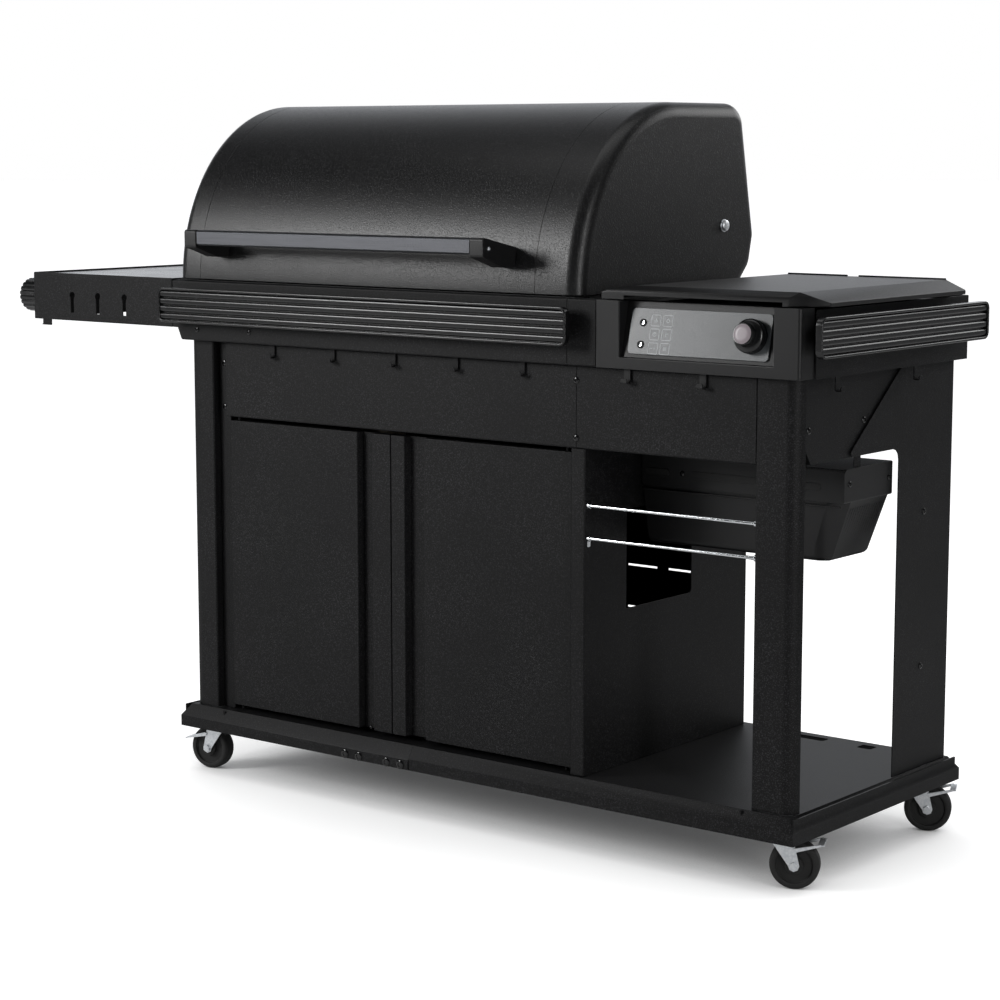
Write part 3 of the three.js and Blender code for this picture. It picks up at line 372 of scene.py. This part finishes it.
def roundEdges(bm, edges, width, segments=3):
    bmesh.ops.bevel(bm, geom=list(edges), offset=width, offset_type="OFFSET", affect="EDGES",
                    segments=segments, profile=0.5, material=-1, clamp_overlap=False)


def sharpEdges(bm, angle=50):
    return [edge for edge in bm.edges if edge.is_manifold and edge.calc_face_angle() > math.radians(angle)]


def block(low, high):
    part = bmesh.new()
    bmesh.ops.create_cube(part, size=1, matrix=Matrix.LocRotScale((low + high) / 2, None, high - low))
    return part


# a block with the four edges along one axis rounded first, then the rims of its two ends
def slab(low, high, axis=1, corner=0.0, rim=0.0, segments=6):
    part = block(low, high)
    if corner:
        along = [edge for edge in part.edges
                 if abs((edge.verts[1].co - edge.verts[0].co).normalized()[axis]) > 0.99]
        roundEdges(part, along, corner, segments)
    if rim:
        roundEdges(part, sharpEdges(part), rim, 3)
    return part


def turned(profile, steps=64):  # pairs of radius and height in mm, turned about Z
    part = bmesh.new()
    verts = [part.verts.new((radius * mm, 0, height * mm)) for radius, height in profile]
    edges = [part.edges.new(pair) for pair in zip(verts, verts[1:])]
    bmesh.ops.spin(part, geom=verts + edges, axis=(0, 0, 1), cent=(0, 0, 0), dvec=(0, 0, 0),
                   angle=2 * math.pi, steps=steps, use_merge=True)
    bmesh.ops.remove_doubles(part, verts=part.verts, dist=0.01 * mm)
    bmesh.ops.recalc_face_normals(part, faces=part.faces)
    return part


def aim(place, axis):  # turns +Z onto the axis and moves to the place
    return Matrix.Translation(place) @ Vector(axis).to_track_quat("Z", "Y").to_matrix().to_4x4()


def pour(part, bm, matrix=None):  # adds one solid to a piece
    if matrix is not None:
        bmesh.ops.transform(part, matrix=matrix, verts=part.verts)
    mesh = bpy.data.meshes.new("pour")
    part.to_mesh(mesh)
    part.free()
    bm.from_mesh(mesh)
    bpy.data.meshes.remove(mesh)


def drawOut(bm, depth):  # turns a flat outline into a solid along a vector
    swept = bmesh.ops.extrude_face_region(bm, geom=bm.faces[:])
    verts = [item for item in swept["geom"] if isinstance(item, bmesh.types.BMVert)]
    bmesh.ops.translate(bm, vec=depth, verts=verts)


def cutAway(bm, place, facing):  # removes what lies past a plane
    bmesh.ops.bisect_plane(bm, geom=bm.verts[:] + bm.edges[:] + bm.faces[:], dist=mm / 100,
                           plane_co=place, plane_no=facing, clear_outer=True)


# CAD pieces with their folds and cut edges rounded

def wide(face, edge, least):
    return face.calc_area() / edge.calc_length() > least


def roomy(edge, width):  # no short neighbour that a rounding of this width would run over
    ends = [other for vert in edge.verts for other in vert.link_edges if other is not edge]
    return all(other.calc_length() > 1.6 * width for other in ends)


def mergedCopy(node):
    bm = bmesh.new()
    bm.from_mesh(frame["nodes"][node].data)
    bmesh.ops.remove_doubles(bm, verts=bm.verts, dist=0.02 * mm)
    bmesh.ops.dissolve_limit(bm, angle_limit=math.radians(1), verts=bm.verts, edges=bm.edges)
    return bm


def softCopy(node, fold, cut):
    bm = mergedCopy(node)
    for width, breadth, segments in ((fold, 3, 4), (cut, 2, 2)):
        if width:
            edges = [edge for edge in sharpEdges(bm) if edge.is_convex and roomy(edge, width * mm)
                     and all(wide(face, edge, breadth * width * mm) for face in edge.link_faces)]
            roundEdges(bm, edges, width * mm, segments)
    slot = slotOf[node]
    piece = showPiece(bm, node + "_made", finish[slot], bodyOf[node], [node],
                      crispSharp if node in crispNodes else usualSharp)
    evenShading(piece)


crispNodes = ("base_tray_left", "base_tray_right")  # their chamfers meet at shallow angles
# node: radius of the folds and of the cut edges, in millimetres
softNodes = {
    "base_tray_left": (0, 0), "base_tray_right": (0, 0),
    "leg_front_left": (0, 0.6), "leg_front_right": (0, 0.6), "leg_rear_left": (2.5, 0.6),
    "leg_rear_right": (2.5, 0.6), "front_beam_left": (3, 0.6), "front_beam_right": (3, 0.6),
    "rear_beam": (0, 0.6), "cabinet_wall_left": (2.5, 0.6), "cabinet_wall_right": (2.5, 0.6),
    "cabinet_back": (0, 0.5), "door_left": (1.2, 0.5), "door_right": (1.2, 0.5), "fascia_front": (3, 0.6),
    "fascia_filler": (3, 0.6), "side_apron": (3, 0.6), "control_housing": (2, 0.6),
    "control_panel": (0, 0.5), "left_shelf": (4, 0.6), "cooktop_glass": (0, 0.6), "hopper": (2, 0.5),
    "hopper_lid": (3, 0.7), "bin_cover": (0, 0.5), "cooking_tub": (2.5, 0.6), "exhaust_duct": (2, 0.5),
    "drip_tray": (2, 0.5), "heat_baffle": (0, 0.4), "fire_pot": (0, 0.6), "auger_screw": (0, 0),
    "auger_motor": (3, 0), "blower": (0, 2), "grease_keg": (0, 0.6), "grate_left": (0, 0.8),
    "grate_right": (0, 0.8), "handle_bar": (0, 1), "pellet_bin": (3, 0.6),
    "handle_bracket_left": (0, 1.2), "handle_bracket_right": (0, 1.2),
}
for corner in cornerNames:
    softNodes["caster_fork_" + corner] = (0, 0.6)
    softNodes["caster_brake_" + corner] = (0, 0.5)
for node, (fold, cut) in softNodes.items():
    softCopy(node, fold, cut)
print("sheet metal and mouldings rounded:", len(softNodes))


# hood

hoodShape = {"arcDepth": 282, "arcHeight": 315, "arcSteps": 40, "skirt": 60, "heel": 101, "edge": 26,
             "wall": 2.5, "seam": 0.5}
hoodRear = [(-45, 0, 33), (0, -227, 6.5), (-13, -282, 11)]  # y from the rear, z from the top, corner reach


def hoodBlank():
    low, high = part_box("hood_cap_left")[0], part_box("hood_cap_right")[1]
    deep, tall = hoodShape["arcDepth"] * mm, hoodShape["arcHeight"] * mm
    bottom = low.z - hoodShape["skirt"] * mm
    bm = bmesh.new()
    outline = [bm.verts.new((low.x, low.y, bottom))]
    for step in range(hoodShape["arcSteps"] + 1):
        angle = step / hoodShape["arcSteps"] * math.pi / 2
        outline.append(bm.verts.new((low.x, low.y + deep * (1 - math.cos(angle)),
                                     high.z - tall * (1 - math.sin(angle)))))
    bends = [bm.verts.new((low.x, high.y + back * mm, high.z + down * mm)) for back, down, reach in hoodRear]
    outline += bends + [bm.verts.new((low.x, high.y - hoodShape["heel"] * mm, bottom))]
    bm.faces.new(outline)
    for vert, (back, down, reach) in zip(bends, hoodRear):
        bmesh.ops.bevel(bm, geom=[vert], offset=reach * mm, affect="VERTICES", segments=7, profile=0.5,
                        material=-1)
    drawOut(bm, (high.x - low.x, 0, 0))
    bmesh.ops.recalc_face_normals(bm, faces=bm.faces)
    ends = [edge for edge in sharpEdges(bm) if abs(edge.verts[0].co.x - edge.verts[1].co.x) < mm]
    roundEdges(bm, ends, hoodShape["edge"] * mm, 10)
    cutAway(bm, (0, 0, low.z), (0, 0, -1))
    return bm


def makeHood():
    for node in ("hood_cap_left", "hood_shell", "hood_cap_right"):
        low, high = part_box(node)
        bm = hoodBlank()
        for edge, side in ((low.x, -1), (high.x, 1)):
            cutAway(bm, (edge, 0, 0), (side, 0, 0))
        piece = showPiece(bm, node + "_made", finish["satin_enamel"], "hood", [node])
        wall = piece.modifiers.new("wall", "SOLIDIFY")
        wall.thickness = hoodShape["wall"] * mm
        wall.offset = -1
        wall.use_even_offset = True
        rim = piece.modifiers.new("rim", "BEVEL")
        rim.width = hoodShape["seam"] * mm
        rim.segments = 2
        rim.limit_method = "ANGLE"
        rim.angle_limit = math.radians(60)
        evenShading(piece)


makeHood()
print("hood made")


# handle

handleShape = {"inset": 1, "strip": 3, "proud": 0.6, "thick": 4, "corner": 1, "rim": 0.3}


def makeHandle():
    low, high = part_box("handle_bar")
    inset, strip, proud, thick, corner, rim = (value * mm for value in handleShape.values())
    bm = slab(Vector((low.x + inset, low.y - proud, low.z + strip)),
              Vector((high.x - inset, low.y + thick, high.z - strip)), 1, corner, rim)
    evenShading(showPiece(bm, "handle_strip", handleStrip, "hood", ()))


makeHandle()


# ribbed rails

railShape = {"depth": 12, "corner": 13, "rim": 4.5, "floor": 7, "edge": 1.5, "ridges": 4, "ridge": 12,
             "lift": 9.8, "round": 4.2, "gap": 1.6}
# the blocks behind a rail: places as shares of its length, the rest in millimetres
blockShape = {"shares": (-0.42, 0, 0.42), "half": 8, "start": 11, "inset": 18, "corner": 2}


def ribbedRail(length, height):  # drawn facing -Y with its back on y = 0, middle at the origin
    depth, corner, rim = (railShape[key] * mm for key in ("depth", "corner", "rim"))
    bm = slab(Vector((-length / 2, -depth, -height / 2)), Vector((length / 2, 0, height / 2)), 1, corner,
              0, 8)
    face = min(bm.faces, key=lambda f: f.calc_center_median().y)
    bmesh.ops.inset_region(bm, faces=[face], thickness=rim, use_even_offset=True)
    sunk = bmesh.ops.extrude_discrete_faces(bm, faces=[face])["faces"]
    bmesh.ops.translate(bm, vec=(0, railShape["floor"] * mm, 0), verts=sunk[0].verts)
    roundEdges(bm, [edge for edge in sharpEdges(bm) if edge.is_convex], railShape["edge"] * mm, 3)
    inner = height - 2 * rim
    pitch = inner / railShape["ridges"]
    ridge = railShape["ridge"] * mm
    reach = length / 2 - rim - railShape["gap"] * mm
    for index in range(railShape["ridges"]):
        z = -inner / 2 + pitch * (index + 0.5)
        part = slab(Vector((-reach, -railShape["lift"] * mm, z - ridge / 2)),
                    Vector((reach, -mm, z + ridge / 2)), 0, railShape["round"] * mm)
        pour(part, bm)
    return bm


def showRail(bm, node):
    evenShading(showPiece(bm, node + "_made", finish["gloss_black"], "cart", [node]))


def makeRails():
    half, start, inset, corner = (blockShape[key] * mm for key in ("half", "start", "inset", "corner"))
    low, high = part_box("front_rail")
    bm = ribbedRail(high.x - low.x, high.z - low.z)
    bmesh.ops.translate(bm, vec=((low.x + high.x) / 2, low.y + railShape["depth"] * mm, (low.z + high.z) / 2),
                        verts=bm.verts)
    for share in blockShape["shares"]:
        x = (low.x + high.x) / 2 + share * (high.x - low.x)
        pour(slab(Vector((x - half, low.y + start, low.z + inset)),
                  Vector((x + half, high.y, high.z - inset)), 1, corner), bm)
    showRail(bm, "front_rail")
    low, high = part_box("side_rail")
    bm = ribbedRail(high.y - low.y, high.z - low.z)
    turn = Matrix.Translation((high.x - railShape["depth"] * mm, (low.y + high.y) / 2, (low.z + high.z) / 2))
    bmesh.ops.transform(bm, matrix=turn @ Matrix.Rotation(math.pi / 2, 4, "Z"), verts=bm.verts)
    for share in blockShape["shares"]:
        y = (low.y + high.y) / 2 + share * (high.y - low.y)
        pour(slab(Vector((low.x, y - half, low.z + inset)),
                  Vector((high.x - start, y + half, high.z - inset)), 0, corner), bm)
    showRail(bm, "side_rail")


makeRails()
print("handle and rails made")


# control panel: print, probe sockets and knob

panelShape = {"columns": (-182, -159.4), "rows": (17.7, -4.5, -26.7), "icon": 18.5, "stroke": 1.1,
              "jackX": -206, "jackRows": (13.5, -21.5), "film": (0.05, 0.2)}
# radius and height of the steel ring, the black body and the pin of a probe socket
jackRing = [(1.2, 0.1), (3.9, 0.1), (3.8, 1.4), (3.2, 1.9), (1.2, 1.7), (1.2, 0.1)]
jackBody = [(4.1, 0.1), (6.3, 0.1), (6.1, 1.2), (5.2, 1.7), (4.1, 1.4), (4.1, 0.1)]
jackPin = [(0, 0.1), (1.1, 0.1), (1.1, 0.9), (0, 0.9)]
knobAxis = Vector(joints["control_knob_turn"]["axis"])
knobPlace = Vector(joints["control_knob_turn"]["pos_m"])


def panelMatrix():  # x to the right, y up along the panel, z out of it, from the middle of the knob
    out = knobAxis.normalized()
    rise = out.cross(right).normalized()
    return Matrix.Translation(knobPlace) @ Matrix((right, rise, out)).transposed().to_4x4()


def printBar(bm, x, y, width, height):
    under, over = panelShape["film"]
    low = Vector((x - width / 2, y - height / 2, under)) * mm
    high = Vector((x + width / 2, y + height / 2, over)) * mm
    pour(block(low, high), bm, panelMatrix())


def printRing(bm, x, y, outer, inner):
    under, over = panelShape["film"]
    part = turned([(inner, under), (outer, under), (outer, over), (inner, over), (inner, under)], 24)
    pour(part, bm, panelMatrix() @ Matrix.Translation((x * mm, y * mm, 0)))


def printSquare(bm, x, y, size, stroke):
    for side in (-1, 1):
        printBar(bm, x, y + side * (size - stroke) / 2, size - 2, stroke)
        printBar(bm, x + side * (size - stroke) / 2, y, stroke, size - 2)


def makePanel():
    bm = bmesh.new()
    stroke = panelShape["stroke"]
    left, rightColumn = panelShape["columns"]
    top, centre, low = panelShape["rows"]
    for x in panelShape["columns"]:
        for y in panelShape["rows"]:
            printSquare(bm, x, y, panelShape["icon"], stroke)
    for shift in (-2.4, 0, 2.4):  # a flame as three licks
        printBar(bm, left + shift, top - abs(shift) / 2, 1.4, 6 - abs(shift))
    printRing(bm, rightColumn, top, 3.2, 2)
    printBar(bm, rightColumn, top + 3, 1, 3.4)
    printRing(bm, left, centre, 3.6, 2.6)
    printBar(bm, left, centre + 1, 0.9, 2.4)
    printBar(bm, rightColumn, centre + 1.6, 5, 1.2)
    printBar(bm, rightColumn - 1.4, centre - 0.8, 1.2, 5)
    printBar(bm, left - 2.6, low, 3.6, 1)
    printBar(bm, left + 2.8, low, 3.6, 1)
    printBar(bm, left + 2.8, low, 1, 3.6)
    for shift in (-2, 0, 2):
        printBar(bm, rightColumn, low + shift, 6, 0.9)
    showPiece(bm, "panel_icons", screenPrint, "cart")
    rings = bmesh.new()
    cores = bmesh.new()
    for y in panelShape["jackRows"]:
        spot = panelMatrix() @ Matrix.Translation((panelShape["jackX"] * mm, y * mm, 0))
        pour(turned(jackRing, 32), rings, spot)
        pour(turned(jackBody, 32), cores, spot)
        pour(turned(jackPin, 24), cores, spot)
    showPiece(rings, "probe_sockets", finish["chrome"], "cart", ())
    showPiece(cores, "probe_socket_cores", blackSocketAndSlotShade, "cart", ())


controlKnobProfile = [(0, 0.6), (25.6, 0.6), (26.8, 1.6), (26.8, 12), (26.2, 14.4), (24.4, 16.6),
                      (22.2, 17.8), (18.8, 18.4), (18.4, 19.4), (18.2, 29), (17.4, 30.4), (15.6, 30.8),
                      (0, 30.8)]
controlRibs = {"count": 48, "low": (26.4, -0.45, 3), "high": (27, 0.45, 11)}
controlCapProfile = [(0, 30.6), (15.4, 30.6), (15.4, 31.2), (14.6, 31.8), (8, 32), (0, 32)]


def makeControlKnob():
    turn = panelMatrix()
    bm = bmesh.new()
    pour(turned(controlKnobProfile, 72), bm, turn)
    for index in range(controlRibs["count"]):  # fine grip ribs round the collar
        rib = block(Vector(controlRibs["low"]) * mm, Vector(controlRibs["high"]) * mm)
        pour(rib, bm, turn @ Matrix.Rotation(index * 2 * math.pi / controlRibs["count"], 4, "Z"))
    showPiece(bm, "control_knob_made", finish["gloss_black"], "control_knob", ["control_knob"])
    bm = turned(controlCapProfile, 72)
    bmesh.ops.transform(bm, matrix=turn, verts=bm.verts)
    showPiece(bm, "control_knob_cap", knobCap, "control_knob", ())


burnerShape = {"radius": 32, "start": 1, "grip": 45, "flutes": 20, "facets": 4, "bite": 2.4, "edge": 1.6}
burnerFace = [(0, 40), (28, 40), (28, 46.5), (26, 48.4), (23, 48.9), (18, 47.6), (0, 47.2)]


def makeBurnerKnob():
    joint = joints["burner_knob_turn"]
    turn = aim(Vector(joint["pos_m"]), joint["axis"])
    facets = burnerShape["facets"]
    part = bmesh.new()
    rim = bmesh.ops.create_circle(part, cap_ends=True, segments=burnerShape["flutes"] * facets,
                                  radius=burnerShape["radius"] * mm)["verts"]
    flute = (burnerShape["radius"] - burnerShape["bite"]) / burnerShape["radius"]
    for index, vert in enumerate(rim):
        if index % facets == 0:
            vert.co *= flute
    drawOut(part, (0, 0, burnerShape["grip"] * mm))
    bmesh.ops.translate(part, vec=(0, 0, burnerShape["start"] * mm), verts=part.verts)
    bmesh.ops.recalc_face_normals(part, faces=part.faces)
    roundEdges(part, sharpEdges(part), burnerShape["edge"] * mm, 2)
    bm = bmesh.new()
    pour(part, bm, turn)
    pour(turned(burnerFace, 64), bm, turn)
    evenShading(showPiece(bm, "burner_knob_made", finish["gloss_black"], "burner_knob", ["burner_knob"]))


makePanel()
makeControlKnob()
makeBurnerKnob()
print("control panel and knobs made")


# casters

# radius and distance from the wheel's middle, from the bore out to the tread
wheelHalf = [(4.4, 16), (13.4, 16), (14.2, 15.2), (14.6, 9.4), (28, 9.2), (29.4, 10.4), (30, 13.4), (31, 14),
             (35.6, 14), (37.8, 12.8), (39.2, 10.4), (39.9, 7.4), (40, 4)]


def makeWheels():
    profile = wheelHalf + [(radius, -height) for radius, height in reversed(wheelHalf)] + wheelHalf[:1]
    for corner in cornerNames:
        joint = joints["wheel_spin_" + corner]
        bm = turned(profile, 72)
        bmesh.ops.transform(bm, matrix=aim(Vector(joint["pos_m"]), joint["axis"]), verts=bm.verts)
        node = "caster_wheel_" + corner
        showPiece(bm, node + "_made", finish["rubber"], bodyOf[node], [node])


makeWheels()


# chrome rods between the cabinet and the right leg

rodShape = {"collar": 5, "tabHalf": 4, "tabThick": 2, "tabCorner": 1.5}


def makeRods():
    collar, tabHalf, tabThick, tabCorner = (value * mm for value in rodShape.values())
    for node in ("rod_upper", "rod_lower"):
        low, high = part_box(node)
        z = high.z - collar
        y = (low.y + high.y) / 2
        length = (high.x - low.x) / mm
        profile = [(0, 0), (5, 0), (5, 4.4), (4.4, 5), (3, 5.2), (3, length - 5.2), (4.4, length - 5),
                   (5, length - 4.4), (5, length), (0, length)]
        bm = turned(profile, 32)
        bmesh.ops.transform(bm, matrix=aim(Vector((low.x, y, z)), right), verts=bm.verts)
        pour(slab(Vector((low.x, y - tabHalf, low.z)), Vector((low.x + tabThick, y + tabHalf, z)), 0,
                  tabCorner), bm)
        showPiece(bm, node + "_made", finish["chrome"], "cart", [node])


makeRods()
print("casters and rods made")


# screws: place in millimetres, way they face, radius of the head

cartScrews = [
    ((233.5, -249, 782), front, 5.5), ((233.5, -249, 688), front, 5.5),
    ((-574, -234, 766), front, 5.5), ((-574, -234, 686), front, 5.5),
    ((-610, -267, 827), front, 5), ((-480, -267, 828), front, 5),
    ((648, -212, 725), right, 5.5), ((648, -45, 728), right, 5.5),
    ((652, 150, 560), right, 5.5), ((652, 150, 300), right, 5.5),
    ((-652, 150, 560), -right, 5.5), ((-652, 150, 300), -right, 5.5),
]
cartScrews += [((x, -271, 93), front, 8) for x in (-256, -224, -160, -128)]
cartScrews += [((x, 240.5, z), away, 5) for x in (-560, -200, 200, 560) for z in (715, 775)]
cartScrews += [((x, 238, z), away, 5) for x in (-560, 225) for z in (180, 400, 640)]
doorScrews = [((-221, -240, 140), front, 3.5)]
binScrews = [((642.5, -76, 628), right, 5), ((642.5, 48, 627), right, 5), ((335, -92, 622), front, 4.5)]
handleScrews = [((115, -328, 993), right, 3.4), ((-562, -328, 993), -right, 3.4)]
# shares of the head's radius, and heights in millimetres
screwProfile = [(0, -0.6), (1, -0.6), (1, 0.9), (0.94, 1.3), (0.78, 1.8), (0.5, 2), (0.46, 0.9), (0, 0.9)]
pivotProfile = [(0, 0.5), (11, 0.5), (11, 1.4), (9.4, 1.6), (9.4, 5), (8, 6.6), (5, 7.2), (0, 7.4)]


def addScrew(bm, place, facing, radius):
    profile = [(share * radius, height) for share, height in screwProfile]
    pour(turned(profile, 18), bm, aim(at(*place), facing))


def makeScrews():
    for name, screws, material, body in (("cart_screws", cartScrews, blackOxide, "cart"),
                                         ("door_screws", doorScrews, blackOxide, "door_left"),
                                         ("bin_screws", binScrews, blackOxide, "pellet_bin"),
                                         ("handle_screws", handleScrews, finish["zinc"], "hood")):
        bm = bmesh.new()
        for place, facing, radius in screws:
            addScrew(bm, place, facing, radius)
        showPiece(bm, name, material, body)
    bm = bmesh.new()
    for node, side in (("hood_cap_left", -1), ("hood_cap_right", 1)):
        low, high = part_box(node)
        pivot = Vector(joints["hood_hinge"]["pos_m"])
        pivot.x = low.x if side < 0 else high.x
        pour(turned(pivotProfile, 40), bm, aim(pivot, right * side))
    showPiece(bm, "hood_pivot_bolts", finish["zinc"], "cart", ())


makeScrews()


# storage bin details

binShape = {"ribs": 14, "rib": 2.4, "pitch": 7.4, "firstY": -55, "ribFoot": -1.5, "ribLift": 0.9,
            "ribEdge": 0.5, "half": 38, "lean": 20.2, "middle": (620.6, 551)}
slotShape = {"spans": ((262, 310), (352, 600)), "z": 621.5, "half": 6, "front": -92.9, "back": -91,
             "rim": 1.6, "proud": 0.2}
lipLow, lipHigh = (256, -93, 590), (637, -88, 593)


def makeBinDetails():
    bm = bmesh.new()
    lean = Matrix.Rotation(math.radians(binShape["lean"]), 4, "Y")
    x, z = binShape["middle"]
    for index in range(binShape["ribs"]):
        low = Vector((binShape["ribFoot"], -binShape["rib"] / 2, -binShape["half"]))
        high = Vector((binShape["ribLift"], binShape["rib"] / 2, binShape["half"]))
        part = slab(low * mm, high * mm, 2, 0, binShape["ribEdge"] * mm)
        pour(part, bm, Matrix.Translation(at(x, binShape["firstY"] + index * binShape["pitch"], z)) @ lean)
    half = slotShape["half"]
    rim = Vector((slotShape["rim"], 0, slotShape["rim"])) * mm
    proud = Vector((0, slotShape["proud"], 0)) * mm
    # dark ovals on the raised rims: painted shade where the real slots are recessed
    slotShade = bmesh.new()
    for x0, x1 in slotShape["spans"]:
        low = at(x0, slotShape["front"], slotShape["z"] - half)
        high = at(x1, slotShape["back"], slotShape["z"] + half)
        pour(slab(low, high, 1, (half - 0.3) * mm, 0.6 * mm), bm)
        pour(slab(low + rim - proud, high - rim, 1, (half - 2) * mm), slotShade)
    pour(slab(at(*lipLow), at(*lipHigh), 0, 1.2 * mm), bm)
    evenShading(showPiece(bm, "bin_ribs", finish["moulded_black"], "pellet_bin", ()))
    showPiece(slotShade, "bin_slot_painted_shade", blackSocketAndSlotShade, "pellet_bin", ())


makeBinDetails()
print("screws and bin details made")
